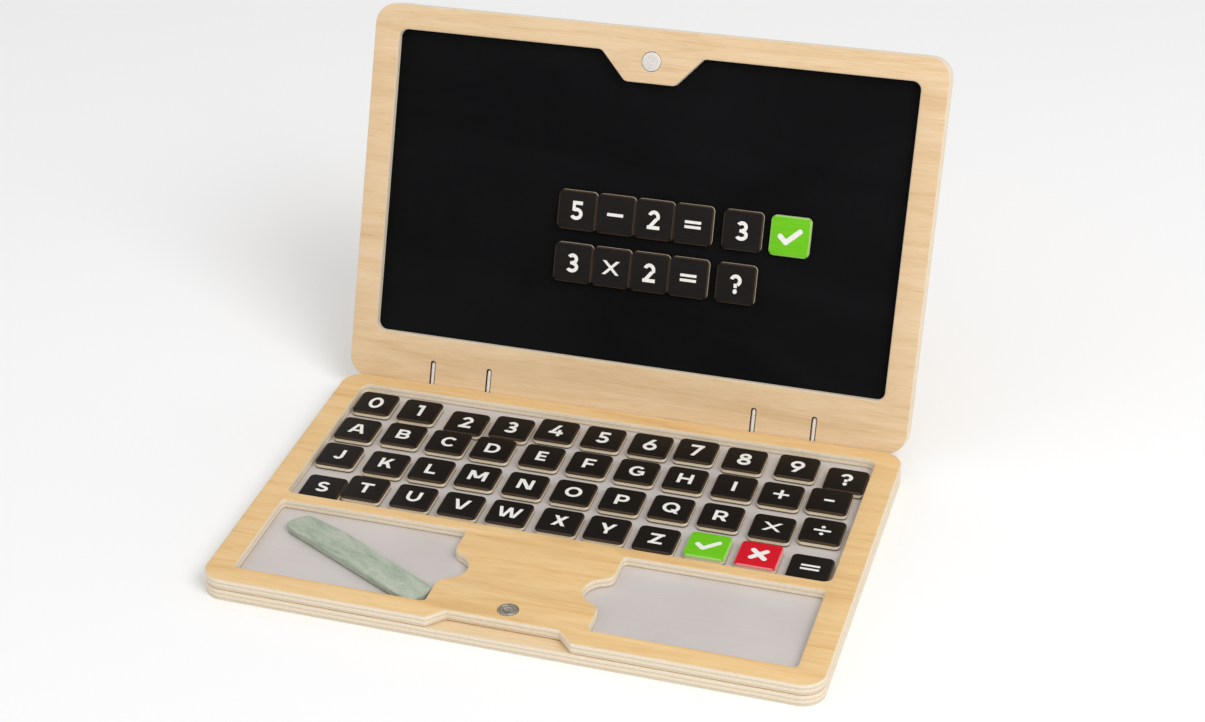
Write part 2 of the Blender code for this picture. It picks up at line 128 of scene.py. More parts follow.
def place_on(tree, attribute, scale=None):
    """Where a point lies in its own piece, scaled to pattern cells per metre along each side."""
    place = add(tree, ATTRIBUTE, {"attribute_name": attribute}).outputs["Vector"]
    return add(tree, MAPPING, Vector=place, Scale=scale).outputs[0] if scale else place


def face_veneer(name, pale, middle, dark):
    """Birch face veneer, rotary cut, sanded and sealed: soft wavy figure, fine pores and a satin film."""
    made, tree, shader = material(name)
    figure = add(tree, NOISE, Vector=place_on(tree, "board_place", (7, 75, 75)), Scale=1, Detail=4,
                 Roughness=0.6, Distortion=1.4)
    streak = add(tree, NOISE, Vector=place_on(tree, "board_place", (45, 1100, 1100)), Scale=1, Detail=3,
                 Roughness=0.6, Distortion=0.3)
    pores = add(tree, NOISE, Vector=place_on(tree, "board_place", (260, 3000, 3000)), Scale=1, Detail=2)
    colour = add(tree, RAMP, stops=((0.28, pale), (0.5, middle), (0.66, dark), (0.8, middle)), Fac=figure)
    fine = add(tree, RAMP, stops=((0.3, "#F6EEE2"), (0.5, "#FFFFFF"), (0.72, "#EEE0CC")), Fac=streak)
    colour = add(tree, MIX, MULTIPLY, _0=0.8, _6=colour, _7=fine).outputs[2]
    flecks = add(tree, RANGE, Value=pores, From_Min=0.62, From_Max=0.76, To_Min=0, To_Max=0.3)
    colour = add(tree, MIX, BLEND, _0=flecks, _6=colour, _7=linear("#C29A6A")).outputs[2]
    relief = add(tree, MIX, BLEND, _0=0.5, _6=streak, _7=pores).outputs[2]
    connect(shader, Base_Color=colour, Specular_IOR_Level=0.35,
            Roughness=add(tree, RANGE, Value=streak, **NOISE_SPAN, To_Min=0.5, To_Max=0.62),
            Normal=add(tree, BUMP, Height=relief, Distance=0.00005, Strength=0.5))
    return made


def board_edge(name, pale, dark, glue):
    """Sawn and sanded plywood edge: layers with the grain pale and smooth, cross layers darker and open."""
    made, tree, shader = material(name)
    depth = add(tree, SPLIT, Vector=place_on(tree, "board_place")).outputs["Z"]
    waver = add(tree, NOISE, Vector=place_on(tree, "board_place", (60, 60, 60)), Scale=1, Detail=2)
    shift = add(tree, RANGE, Value=waver, **NOISE_SPAN, To_Min=-0.00012, To_Max=0.00012)
    height = add(tree, MATH, {"operation": "ADD"}, _0=depth, _1=shift)
    layer = add(tree, MATH, {"operation": "DIVIDE"}, _0=height, _1=PLY_LAYER)
    pair = add(tree, MATH, {"operation": "PINGPONG"}, _0=layer, _1=1)
    within = add(tree, MATH, {"operation": "FRACT"}, _0=layer)
    joint = add(tree, MATH, {"operation": "PINGPONG"}, _0=within, _1=0.5)
    grain = add(tree, NOISE, Vector=place_on(tree, "board_place", (500, 500, 2600)), Scale=1, Detail=3,
                Roughness=0.6)
    colour = add(tree, RAMP, stops=((0.42, pale), (0.58, dark)), Fac=pair)
    open_grain = add(tree, RAMP, stops=((0.35, "#EDE3D4"), (0.6, "#FFFFFF")), Fac=grain)
    colour = add(tree, MIX, MULTIPLY, _0=0.6, _6=colour, _7=open_grain).outputs[2]
    seam = add(tree, RANGE, Value=joint, From_Min=0.02, From_Max=0.1, To_Min=0.6, To_Max=0)
    colour = add(tree, MIX, BLEND, _0=seam, _6=colour, _7=linear(glue)).outputs[2]
    connect(shader, Base_Color=colour, Specular_IOR_Level=0.3,
            Roughness=add(tree, RANGE, Value=grain, **NOISE_SPAN, To_Min=0.62, To_Max=0.75),
            Normal=add(tree, BUMP, Height=grain, Distance=0.00008, Strength=0.6))
    return made


back_veneer = face_veneer("birch plywood back veneer, sanded and sealed", "#E8D3B0", "#E2C9A2", "#DABD92")
ply_edge = board_edge("birch plywood edge, sawn and sanded", "#EFE5D3", "#DFD0B8", "#BDA88A")


def arc(centre, radius, start, end, step=math.radians(9)):
    """Points along an arc, both ends included."""
    count = max(1, math.ceil(abs(end - start) / step - 1e-6))
    angles = [start + (end - start) * i / count for i in range(count + 1)]
    return [(centre[0] + radius * math.cos(a), centre[1] + radius * math.sin(a)) for a in angles]


def rounded(corners):
    """An outline through (x, y, radius) corners, each one turned into an arc of its radius."""
    points = []
    for i, (x, y, radius) in enumerate(corners):
        if radius == 0:
            points.append((x, y))
            continue
        before = math.atan2(corners[i - 1][1] - y, corners[i - 1][0] - x)
        after_corner = corners[(i + 1) % len(corners)]
        after = math.atan2(after_corner[1] - y, after_corner[0] - x)
        opening = (after - before + math.pi) % (2 * math.pi) - math.pi
        reach = radius / math.sin(abs(opening) / 2)
        middle = before + opening / 2
        centre = (x + reach * math.cos(middle), y + reach * math.sin(middle))
        turn = math.copysign(math.pi - abs(opening), -opening)
        start = before + math.copysign(math.pi / 2, -opening)
        points += arc(centre, radius, start, start + turn)
    return points


def rounded_box(low_x, low_y, high_x, high_y, radius):
    return rounded([(x, y, radius) for x, y in (
        (low_x, low_y), (high_x, low_y), (high_x, high_y), (low_x, high_y))])


def circle(x, y, radius, sides=40):
    return arc((x, y), radius, 0, math.tau, math.tau / sides)[:-1]


def area(outline):
    return sum(a[0] * b[1] - b[0] * a[1] for a, b in zip(outline, outline[1:] + outline[:1])) / 2


def evaluated_mesh(source):
    """What an object's curve or modifiers make, as a plain mesh. The source object is removed."""
    bpy.context.view_layer.update()
    graph = bpy.context.evaluated_depsgraph_get()
    mesh = bpy.data.meshes.new_from_object(source.evaluated_get(graph))
    bpy.data.objects.remove(source)
    return mesh


def show(name, mesh):
    made = bpy.data.objects.new(name, mesh)
    bpy.context.scene.collection.objects.link(made)
    return made


def as_mesh(shape, name):
    """A bmesh turned into a mesh with its faces outwards, and freed."""
    bmesh.ops.recalc_face_normals(shape, faces=shape.faces)
    mesh = bpy.data.meshes.new(name)
    shape.to_mesh(mesh)
    shape.free()
    return mesh


def merged(mesh):
    """Doubles merged and faces turned outwards."""
    shape = bmesh.new()
    shape.from_mesh(mesh)
    bmesh.ops.remove_doubles(shape, verts=shape.verts, dist=WELD)
    bmesh.ops.recalc_face_normals(shape, faces=shape.faces)
    shape.to_mesh(mesh)
    shape.free()
    return mesh


def board(outer, holes, low, high, ease):
    """A sawn board with openings, as a mesh. The edges of both faces are eased all round."""
    curve = bpy.data.curves.new("board", "CURVE")
    curve.dimensions = "2D"
    curve.fill_mode = "BOTH"
    curve.extrude = (high - low) / 2 - ease
    curve.bevel_depth = ease
    curve.bevel_resolution = 2
    curve.offset = -ease
    for outline, way in [(outer, 1)] + [(hole, -1) for hole in holes]:
        points = outline if area(outline) * way > 0 else outline[::-1]
        spline = curve.splines.new("POLY")
        spline.points.add(len(points) - 1)
        for point, place in zip(spline.points, points):
            point.co = (*place, 0, 1)
        spline.use_cyclic_u = True
    mesh = evaluated_mesh(show("board", curve))
    mesh.transform(Matrix.Translation((0, 0, (low + high) / 2)))
    return merged(mesh)


def block(outline, low, high):
    """A plain closed block of an outline, as a mesh, for cutting."""
    shape = bmesh.new()
    face = shape.faces.new([shape.verts.new((x, y, low)) for x, y in outline])
    raised = bmesh.ops.extrude_face_region(shape, geom=[face])["geom"]
    top = [item for item in raised if isinstance(item, bmesh.types.BMVert)]
    bmesh.ops.translate(shape, verts=top, vec=(0, 0, high - low))
    return as_mesh(shape, "block")


def cut(mesh, cutters):
    """A mesh with every cutter taken out of it."""
    body = show("body", mesh)
    tools = [show("cutter", cutter) for cutter in cutters]
    for tool in tools:
        change = body.modifiers.new("cut", "BOOLEAN")
        change.object = tool
        change.operation = "DIFFERENCE"
        change.solver = "EXACT"
    result = evaluated_mesh(body)
    for tool in tools:
        bpy.data.objects.remove(tool)
    return result


FACE_TILT = 0.9
BOARD_CREASE = math.radians(40)


def finish_board(name, mesh, face, scorched=None, place=None):
    """Gives a board its veneer and edge materials, keeps its own coordinates for them, and puts it in place.

    scorched(centre) says which wall faces the laser or router has burnt; these take the scorched wood, which
    is darkened further as painted shade."""
    stored = mesh.attributes.new("board_place", "FLOAT_VECTOR", "POINT")
    low = min(v.co.z for v in mesh.vertices)
    for vertex in mesh.vertices:
        stored.data[vertex.index].vector = (vertex.co.x, vertex.co.y, vertex.co.z - low)
    mesh.materials.clear()
    for finish in (face, ply_edge, scorched_and_shaded_wood):
        mesh.materials.append(finish)
    for polygon in mesh.polygons:
        is_face = abs(polygon.normal.z) > FACE_TILT
        polygon.material_index = 0 if is_face else 1
        # Groove and hole walls take the scorched wood, whose dark brown is partly painted shade round the
        # cord
        if scorched and not is_face and scorched(polygon.center):
            polygon.material_index = 2
    mesh.shade_smooth()
    mesh.set_sharp_from_angle(angle=BOARD_CREASE)
    if place:
        mesh.transform(place)
    mesh.update()
    return show(name, mesh)


def fine_grained(name, attribute, scale, detail, stops, low, high, relief, strength):
    """A skin with one fine mottle in its colour, its roughness from low to high, and its relief in metres."""
    made, tree, shader = material(name)
    mottle = add(tree, NOISE, Vector=place_on(tree, attribute), Scale=scale, Detail=detail)
    connect(shader, Base_Color=add(tree, RAMP, stops=stops, Fac=mottle),
            Roughness=add(tree, RANGE, Value=mottle, **NOISE_SPAN, To_Min=low, To_Max=high),
            Normal=add(tree, BUMP, Height=mottle, Distance=relief, Strength=strength))
    return made


# Wood scorched where a cutter ran slowly, darkened further as painted shade of the gap round the hinge cords:
# a dark brown skin, matt and uneven
scorched_and_shaded_wood = fine_grained("birch scorched by the cutter and darkened as painted shade", "board_place", 900, 3,
                          ((0.3, "#4A2F1C"), (0.7, "#7A5738")), 0.75, 0.9, 0.00005, 1)

CORD_RADIUS = 1.1 * MM
CORD_CLEARANCE = 0.5 * MM
CORD_BEND = CORD_RADIUS + CORD_CLEARANCE
CORD_INNER = 78.5 * MM
CORD_OUTER = 113 * MM
CORD_RUN_INSET = 7 * MM
CUT_MARGIN = 5 * MM
RUN_Y = HALF_DEPTH - CORD_RUN_INSET
BOARD_THICKNESS = board_high.z - board_low.z
CHANNEL_DEPTH = 2 * CORD_RADIUS + CORD_CLEARANCE


def channel(side, low, high):
    """Cutters for one hinge cord's U-shaped way between the boards: two legs and the run between them."""
    legs = [rounded_box(side * x - CORD_BEND, RUN_Y - CORD_BEND, side * x + CORD_BEND,
                        HALF_DEPTH + CUT_MARGIN, 0) for x in (CORD_INNER, CORD_OUTER)]
    ends = sorted((side * CORD_INNER, side * CORD_OUTER))
    run = rounded_box(ends[0], RUN_Y - CORD_BEND, ends[1], RUN_Y + CORD_BEND, 0)
    return [block(outline, low, high) for outline in legs + [run]]


case_outline = rounded_box(-HALF_WIDTH, -HALF_DEPTH, HALF_WIDTH, HALF_DEPTH, CASE_CORNER)
bottom_mesh = board(case_outline, [], board_low.z, board_high.z, BOARD_EASE)
bottom_mesh = cut(bottom_mesh, [cutter for side in (-1, 1) for cutter in channel(
    side, board_high.z - CHANNEL_DEPTH, board_high.z + CUT_MARGIN)])
bottom_board = finish_board("bottom_board", bottom_mesh, back_veneer)
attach(bottom_board, "base")
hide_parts("base_bottom_board")


# Frame of the base: face plywood with the keyboard tray, two compartments with half round finger spaces and
# a finger notch sawn out of it, sanded and clear sealed. It is glued on the bottom board.

FRAME_EASE = 0.8 * MM
TRAY_SIDE_BORDER = 14 * MM
TRAY_REAR_BORDER = 11 * MM
TRAY_LENGTH = 120.5 * MM
TRAY_CORNER = 5 * MM
BOX_SIDE_BORDER = 15 * MM
BOX_FRONT_BORDER = 13.5 * MM
BOX_WIDTH = 106.4 * MM
BOX_LENGTH = 67 * MM
BOX_CORNER = 2.5 * MM
FINGER_RADIUS = 12 * MM
FINGER_FILLET = 6.5 * MM
NOTCH_HALF_INNER = 30.25 * MM
NOTCH_HALF_OUTER = 38.5 * MM
NOTCH_DEPTH = 8.8 * MM
NOTCH_CORNER = 2 * MM
NOTCH_MOUTH = 1.5 * MM
CATCH_INSET = 18.2 * MM
BORE_RADIUS = 5.7 * MM
BORE_DEPTH = 4 * MM
SHEET_CLEARANCE = 0.3 * MM

TRAY_HALF_WIDTH = HALF_WIDTH - TRAY_SIDE_BORDER
TRAY_REAR = HALF_DEPTH - TRAY_REAR_BORDER
BOX_MIDDLE = -HALF_DEPTH + BOX_FRONT_BORDER + BOX_LENGTH / 2
BOX_CENTRE = HALF_WIDTH - BOX_SIDE_BORDER - BOX_WIDTH / 2


def compartment(side):
    """A compartment whose inner side wall swells into a half round finger space."""
    half, low, high = BOX_WIDTH / 2, -BOX_LENGTH / 2, BOX_LENGTH / 2
    rise = math.sqrt((FINGER_RADIUS + FINGER_FILLET) ** 2 - FINGER_FILLET ** 2)
    lean = math.atan2(rise, FINGER_FILLET)
    corner = BOX_CORNER
    points = arc((half - corner, low + corner), corner, -math.pi / 2, 0)
    points += arc((half + FINGER_FILLET, -rise), FINGER_FILLET, math.pi, math.pi - lean)[:-1]
    points += arc((half, 0), FINGER_RADIUS, -lean, lean)[:-1]
    points += arc((half + FINGER_FILLET, rise), FINGER_FILLET, math.pi + lean, math.pi)
    points += arc((half - corner, high - corner), corner, 0, math.pi / 2)
    points += arc((corner - half, high - corner), corner, math.pi / 2, math.pi)
    points += arc((corner - half, low + corner), corner, math.pi, 1.5 * math.pi)
    return [(side * (BOX_CENTRE - x), y + BOX_MIDDLE) for x, y in points]


def sheet_rebate(node, low, high):
    """The rebate that a steel sheet is let into, a clearance larger than the sheet all round."""
    sheet_low, sheet_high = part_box(node)
    gap = SHEET_CLEARANCE
    return block(rounded_box(sheet_low.x - gap, sheet_low.y - gap, sheet_high.x + gap, sheet_high.y + gap,
                             NOTCH_CORNER), low, high)


notched_outline = rounded([
    (-HALF_WIDTH, -HALF_DEPTH, CASE_CORNER), (-NOTCH_HALF_OUTER, -HALF_DEPTH, NOTCH_MOUTH),
    (-NOTCH_HALF_INNER, NOTCH_DEPTH - HALF_DEPTH, NOTCH_CORNER),
    (NOTCH_HALF_INNER, NOTCH_DEPTH - HALF_DEPTH, NOTCH_CORNER),
    (NOTCH_HALF_OUTER, -HALF_DEPTH, NOTCH_MOUTH), (HALF_WIDTH, -HALF_DEPTH, CASE_CORNER),
    (HALF_WIDTH, HALF_DEPTH, CASE_CORNER), (-HALF_WIDTH, HALF_DEPTH, CASE_CORNER)])
tray = rounded_box(-TRAY_HALF_WIDTH, TRAY_REAR - TRAY_LENGTH, TRAY_HALF_WIDTH, TRAY_REAR, TRAY_CORNER)
face_veneer_base = face_veneer("birch face veneer of the base, sanded and sealed", "#EBCB97", "#E6C28B",
                               "#DCB47B")
frame_mesh = board(notched_outline, [tray, compartment(-1), compartment(1)], base_low.z, base_high.z,
                   FRAME_EASE)
sheet_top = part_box("base_steel_sheet")[1].z
frame_mesh = cut(frame_mesh, [
    sheet_rebate("base_steel_sheet", base_low.z - CUT_MARGIN, sheet_top + SHEET_CLEARANCE),
    block(circle(0, CATCH_INSET - HALF_DEPTH, BORE_RADIUS), base_high.z - BORE_DEPTH,
          base_high.z + CUT_MARGIN)])
base_frame = finish_board("base_frame_ply", frame_mesh, face_veneer_base)
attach(base_frame, "base")
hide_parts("base_frame")


# Steel sheet let in under the frame: the floor of the tray and of both compartments, and what the magnetic
# tiles hold on. Cold rolled, zinc coated and left bare, so it is a soft warm grey with rolling marks.

def zinc_sheet(name):
    """Zinc coated sheet, temper rolled: a fine matt surface with faint lengthwise rolling lines."""
    made, tree, shader = material(name)
    place = add(tree, COORDINATES).outputs["Object"]
    rolled = add(tree, MAPPING, Vector=place, Scale=(20, 1600, 20))
    lines = add(tree, NOISE, Vector=rolled, Scale=1, Detail=3)
    cloud = add(tree, NOISE, Vector=place, Scale=22, Detail=3)
    colour = add(tree, RAMP, stops=((0.3, "#D3CCC9"), (0.7, "#D9D3D0")), Fac=cloud)
    brushed = add(tree, RAMP, stops=((0.35, "#D0CCC8"), (0.65, "#FFFFFF")), Fac=lines)
    connect(shader, Base_Color=add(tree, MIX, MULTIPLY, _0=0.12, _6=colour, _7=brushed).outputs[2],
            Metallic=0.3,
            Roughness=add(tree, RANGE, Value=cloud, **NOISE_SPAN, To_Min=0.48, To_Max=0.56),
            Normal=add(tree, BUMP, Height=lines, Distance=0.00001, Strength=0.4))
    return made


def refinish(node, finish):
    """A frame node keeps its shape and takes a finished material."""
    piece = frame["nodes"][node]
    piece.data.materials.clear()
    piece.data.materials.append(finish)


refinish("base_steel_sheet", zinc_sheet("zinc coated steel sheet, temper rolled"))


# Catch: a turned steel disc pressed into the front bar of the base, with a ring and a dimple in its face.
# It is what the magnet in the lid's tab meets.

DISC_EDGE = 0.35 * MM
RING_RADIUS = 3.9 * MM
RING_WIDTH = 0.35 * MM
RING_DEPTH = 0.18 * MM
DIMPLE_RADIUS = 2.2 * MM
DIMPLE_DEPTH = 0.5 * MM
DISC_SIDES = 64
SMALL_CREASE = math.radians(35)


def turned_disc(radius, thickness, cuts):
    """A disc about its own Z, its face at height 0. cuts lists (radius, depth) points across the face."""
    profile = [(radius, -thickness), (radius, -DISC_EDGE), (radius - 0.3 * DISC_EDGE, -0.3 * DISC_EDGE),
               (radius - DISC_EDGE, 0)] + cuts
    shape = bmesh.new()
    rings = [[shape.verts.new((r * math.cos(a), r * math.sin(a), z))
              for a in [math.tau * i / DISC_SIDES for i in range(DISC_SIDES)]] for r, z in profile]
    for lower, upper in zip(rings, rings[1:]):
        for i in range(DISC_SIDES):
            after = (i + 1) % DISC_SIDES
            shape.faces.new((lower[i], lower[after], upper[after], upper[i]))
    shape.faces.new(rings[-1])
    shape.faces.new(rings[0][::-1])
    mesh = as_mesh(shape, "disc")
    mesh.shade_smooth()
    mesh.set_sharp_from_angle(angle=SMALL_CREASE)
    stored = mesh.attributes.new("board_place", "FLOAT_VECTOR", "POINT")
    for vertex in mesh.vertices:
        stored.data[vertex.index].vector = vertex.co
    return mesh


def turned_metal(name, dull, bright, low, high):
    """Turned or pressed and plated steel: fine circular tool marks, a little tarnish, satin gloss."""
    made, tree, shader = material(name)
    place = place_on(tree, "board_place")
    marks = add(tree, WAVE, {"wave_type": "RINGS", "rings_direction": "Z"}, Vector=place, Scale=900,
                Distortion=0.6, Detail=2).outputs["Fac"]
    tarnish = add(tree, NOISE, Vector=place, Scale=700, Detail=4, Roughness=0.6)
    connect(shader, Base_Color=add(tree, RAMP, stops=((0.35, dull), (0.65, bright)), Fac=tarnish),
            Metallic=1, Roughness=add(tree, RANGE, Value=tarnish, **NOISE_SPAN, To_Min=low, To_Max=high),
            Normal=add(tree, BUMP, Height=marks, Distance=0.00001, Strength=0.35))
    return made


def fit_disc(name, node, body, finish, cuts, place):
    """A turned disc on the same axis and as deep as its frame node, flush under the same face."""
    mesh = turned_disc(DISC_RADIUS, DISC_THICKNESS, cuts)
    mesh.materials.append(finish)
    mesh.transform(place)
    disc = show(name, mesh)
    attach(disc, body)
    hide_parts(node)


catch_low, catch_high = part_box("base_catch")
DISC_RADIUS = (catch_high.x - catch_low.x) / 2
DISC_THICKNESS = catch_high.z - catch_low.z
catch_cuts = [(RING_RADIUS + RING_WIDTH, 0), (RING_RADIUS + RING_WIDTH / 2, -RING_DEPTH),
              (RING_RADIUS, 0), (DIMPLE_RADIUS + RING_WIDTH, 0), (DIMPLE_RADIUS, -DIMPLE_DEPTH / 2),
              (DIMPLE_RADIUS * 0.7, -DIMPLE_DEPTH * 0.9), (DIMPLE_RADIUS * 0.3, -DIMPLE_DEPTH)]
fit_disc("catch_disc", "base_catch", "base",
         turned_metal("zinc plated steel, turned and tarnished", "#A0968A", "#C8C0B4", 0.42, 0.55),
         catch_cuts, Matrix.Translation((0, CATCH_INSET - HALF_DEPTH, catch_high.z)))


# Frame of the lid: face plywood like the base's, with the screen opening, a tab at its top that holds the
# magnet, and at its foot four short grooves with round holes that the hinge cords are threaded through.

OPEN_ANGLE = math.radians(110)
SCREEN_SIDE_BORDER = 15 * MM
SCREEN_TOP_BORDER = 14 * MM
SCREEN_BOTTOM_BORDER = 29 * MM
SCREEN_CORNER = 5 * MM
TAB_HALF_ROOT = 29.5 * MM
TAB_HALF_TIP = 14.5 * MM
TAB_DEPTH = 16.5 * MM
TAB_FILLET = 4 * MM
HINGE_INSET = 0.6 * MM
HINGE_DROP = 0.85 * MM
LID_GAP = 0.4 * MM
CORD_SINK = 1.3 * MM
DARK_WALL_REACH = 1.2 * CORD_BEND
BORE_STEP = 0.01 * MM
CORD_HOLE_HEIGHT = 13.5 * MM
FRAME_THICKNESS = base_high.z - base_low.z
GLUE_LINE = base_low.z - board_high.z
SHEET_THICKNESS = sheet_top - base_low.z

hinge_point = next(joint["pos_m"] for joint in frame["joints"] if joint["name"] == "lid_hinge")
lid_place = Matrix.Translation(hinge_point) @ Matrix.Rotation(math.pi - OPEN_ANGLE, 4, "X")
LID_FACE = -(HINGE_DROP + LID_GAP)
LID_FOOT = -HINGE_INSET
LID_TOP = LID_FOOT + 2 * HALF_DEPTH
SCREEN_HALF_WIDTH = HALF_WIDTH - SCREEN_SIDE_BORDER
SCREEN_TOP = LID_TOP - SCREEN_TOP_BORDER
SHEET_LAP = 2 * MM
SHEET_FRONT = LID_FACE - FRAME_THICKNESS + SHEET_THICKNESS
MAGNET_HEIGHT = LID_TOP - CATCH_INSET
CORD_HOLE = LID_FOOT + CORD_HOLE_HEIGHT

lid_outline = rounded_box(-HALF_WIDTH, LID_FOOT, HALF_WIDTH, LID_TOP, CASE_CORNER)
screen = rounded([
    (-SCREEN_HALF_WIDTH, LID_FOOT + SCREEN_BOTTOM_BORDER, SCREEN_CORNER),
    (SCREEN_HALF_WIDTH, LID_FOOT + SCREEN_BOTTOM_BORDER, SCREEN_CORNER),
    (SCREEN_HALF_WIDTH, SCREEN_TOP, SCREEN_CORNER), (TAB_HALF_ROOT, SCREEN_TOP, TAB_FILLET),
    (TAB_HALF_TIP, SCREEN_TOP - TAB_DEPTH, TAB_FILLET), (-TAB_HALF_TIP, SCREEN_TOP - TAB_DEPTH, TAB_FILLET),
    (-TAB_HALF_ROOT, SCREEN_TOP, TAB_FILLET), (-SCREEN_HALF_WIDTH, SCREEN_TOP, SCREEN_CORNER)])
legs = [side * across for side in (-1, 1) for across in (CORD_INNER, CORD_OUTER)]
lid_cutters = [
    block(rounded_box(-SCREEN_HALF_WIDTH - SHEET_LAP - SHEET_CLEARANCE,
                      LID_FOOT + SCREEN_BOTTOM_BORDER - SHEET_LAP - SHEET_CLEARANCE,
                      SCREEN_HALF_WIDTH + SHEET_LAP + SHEET_CLEARANCE,
                      SCREEN_TOP + SHEET_LAP + SHEET_CLEARANCE, NOTCH_CORNER),
          LID_FACE - FRAME_THICKNESS - CUT_MARGIN, SHEET_FRONT + SHEET_CLEARANCE),
    block(circle(0, MAGNET_HEIGHT, BORE_RADIUS), LID_FACE - BORE_DEPTH, LID_FACE + CUT_MARGIN)]
for leg in legs:
    groove = [(leg - CORD_BEND, LID_FOOT - CUT_MARGIN), (leg + CORD_BEND, LID_FOOT - CUT_MARGIN)]
    groove += arc((leg, CORD_HOLE), CORD_BEND, 0, math.pi)
    lid_cutters.append(block(groove, LID_FACE - CORD_SINK - CORD_BEND, LID_FACE + CUT_MARGIN))
    lid_cutters.append(block(circle(leg, CORD_HOLE, CORD_BEND - BORE_STEP),
                             LID_FACE - FRAME_THICKNESS - CUT_MARGIN, LID_FACE - CORD_SINK))


def groove_wall(centre):
    """The walls of the cord grooves and holes, which the cutter has burnt and which are darkened as painted
    shade of the gap round the cord.
    """
    return (min(abs(centre.x - leg) for leg in legs) < DARK_WALL_REACH
            and LID_FOOT + BOARD_EASE < centre.y < CORD_HOLE + DARK_WALL_REACH)


face_veneer_lid = face_veneer("birch face veneer of the lid, sanded and sealed", "#E6CDAA", "#E0C39C",
                              "#D8B88E")
lid_mesh = cut(board(lid_outline, [screen], LID_FACE - FRAME_THICKNESS, LID_FACE, FRAME_EASE), lid_cutters)
lid_frame = finish_board("lid_frame_ply", lid_mesh, face_veneer_lid, groove_wall, lid_place)
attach(lid_frame, "lid")
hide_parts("lid_frame")


# Chalkboard: a steel sheet sprayed with matt blackboard paint, let into the back of the lid's frame. It
# takes chalk and holds the magnetic tiles.

def blackboard_paint(name):
    """Blackboard paint, sprayed in several coats: deep black, a fine tooth, and large soft blotches of a
    slightly lighter black.
    """
    made, tree, shader = material(name)
    place = add(tree, COORDINATES).outputs["Object"]
    # Large soft blotches, slightly lighter and a little rougher, spread unevenly across the board
    blotch_place = add(tree, MAPPING, Vector=place, Rotation=(0.3, 0.9, 0.2), Scale=(6, 25, 14))
    blotches = add(tree, NOISE, Vector=blotch_place, Scale=1, Detail=5, Roughness=0.6, Distortion=0.8)
    tooth = add(tree, NOISE, Vector=place, Scale=2600, Detail=2)
    connect(shader, Base_Color=add(tree, RAMP, stops=((0.4, "#070709"), (0.75, "#101012")), Fac=blotches),
            Roughness=add(tree, RANGE, Value=blotches, **NOISE_SPAN, To_Min=0.62, To_Max=0.72),
            Specular_IOR_Level=0.07,
            Normal=add(tree, BUMP, Height=tooth, Distance=0.00003, Strength=0.5))
    return made


refinish("lid_chalkboard_sheet", blackboard_paint("blackboard paint, sprayed matt on steel"))


# Back board of the lid: a plain birch plywood board glued over the frame and the chalkboard, with a round
# ended channel across each pair of cord holes in its hidden face.

back_low = LID_FACE - FRAME_THICKNESS - GLUE_LINE - BOARD_THICKNESS
back_high = back_low + BOARD_THICKNESS
reach = (CORD_OUTER - CORD_INNER) / 2 + CORD_BEND
back_mesh = board(lid_outline, [], back_low, back_high, BOARD_EASE)
back_mesh = cut(back_mesh, [
    block(rounded_box(side * (CORD_INNER + CORD_OUTER) / 2 - reach, CORD_HOLE - CORD_BEND,
                      side * (CORD_INNER + CORD_OUTER) / 2 + reach, CORD_HOLE + CORD_BEND,
                      CORD_BEND), back_high - CHANNEL_DEPTH, back_high + CUT_MARGIN)
    for side in (-1, 1)])
lid_back = finish_board("lid_back_ply", back_mesh, back_veneer, None, lid_place)
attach(lid_back, "lid")
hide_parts("lid_back_board")


# Magnet: a nickel plated disc pressed into the lid's tab. Its edge is broken and its face is plain.

DISC_SINK = 0.1 * MM
magnet_cuts = [(DISC_RADIUS * 0.6, 0), (DISC_RADIUS * 0.2, 0)]
fit_disc("tab_magnet", "lid_magnet", "lid",
         turned_metal("nickel plated magnet, satin", "#E4DFD8", "#F6F3EE", 0.42, 0.55), magnet_cuts,
         lid_place @ Matrix.Translation((0, MAGNET_HEIGHT, LID_FACE - DISC_SINK)))


# Hinge cords: two loops of braided elastic, one each side. Each is threaded through the lid's holes, runs
# down the grooves and round a channel between the boards of the base, and is knotted out of sight.

CORD_END_DROP = 3.4 * MM
BRAID_PITCH = 1.6 * MM
CORD_ARC_STEPS = 5
CORD_SIDES = 16
YARNS_ROUND = 6.0


def bend(corner, before, after):
    """Points round a right-angled corner of the cord."""
    first = (Vector(before) - Vector(corner)).normalized()
    last = (Vector(after) - Vector(corner)).normalized()
    angles = [i * math.pi / 2 / CORD_ARC_STEPS for i in range(CORD_ARC_STEPS + 1)]
    return [Vector(corner) + CORD_BEND * (first * (1 - math.sin(a)) + last * (1 - math.cos(a)))
            for a in angles]


def route(corners):
    points = [Vector(corners[0])]
    for i in range(1, len(corners) - 1):
        points += bend(corners[i], corners[i - 1], corners[i + 1])
    return points + [Vector(corners[-1])]


def cord_route(side):
    """A whole loop: up the lid's grooves, across its back channel, down and round the base's channel."""
    foot = LID_FOOT + CORD_CLEARANCE
    front = LID_FACE - CORD_SINK
    back = LID_FACE - FRAME_THICKNESS - CORD_BEND
    near, far = side * CORD_INNER, side * CORD_OUTER
    in_lid = route([(near, foot, front), (near, CORD_HOLE, front), (near, CORD_HOLE, back),
                    (far, CORD_HOLE, back), (far, CORD_HOLE, front), (far, foot, front)])
    height = board_high.z - CORD_RADIUS
    behind = HALF_DEPTH + CORD_BEND
    top = base_high.z - CORD_END_DROP
    in_base = route([(far, behind, top), (far, behind, height), (far, RUN_Y, height),
                     (near, RUN_Y, height), (near, behind, height), (near, behind, top)])
    return [lid_place @ point for point in in_lid] + in_base


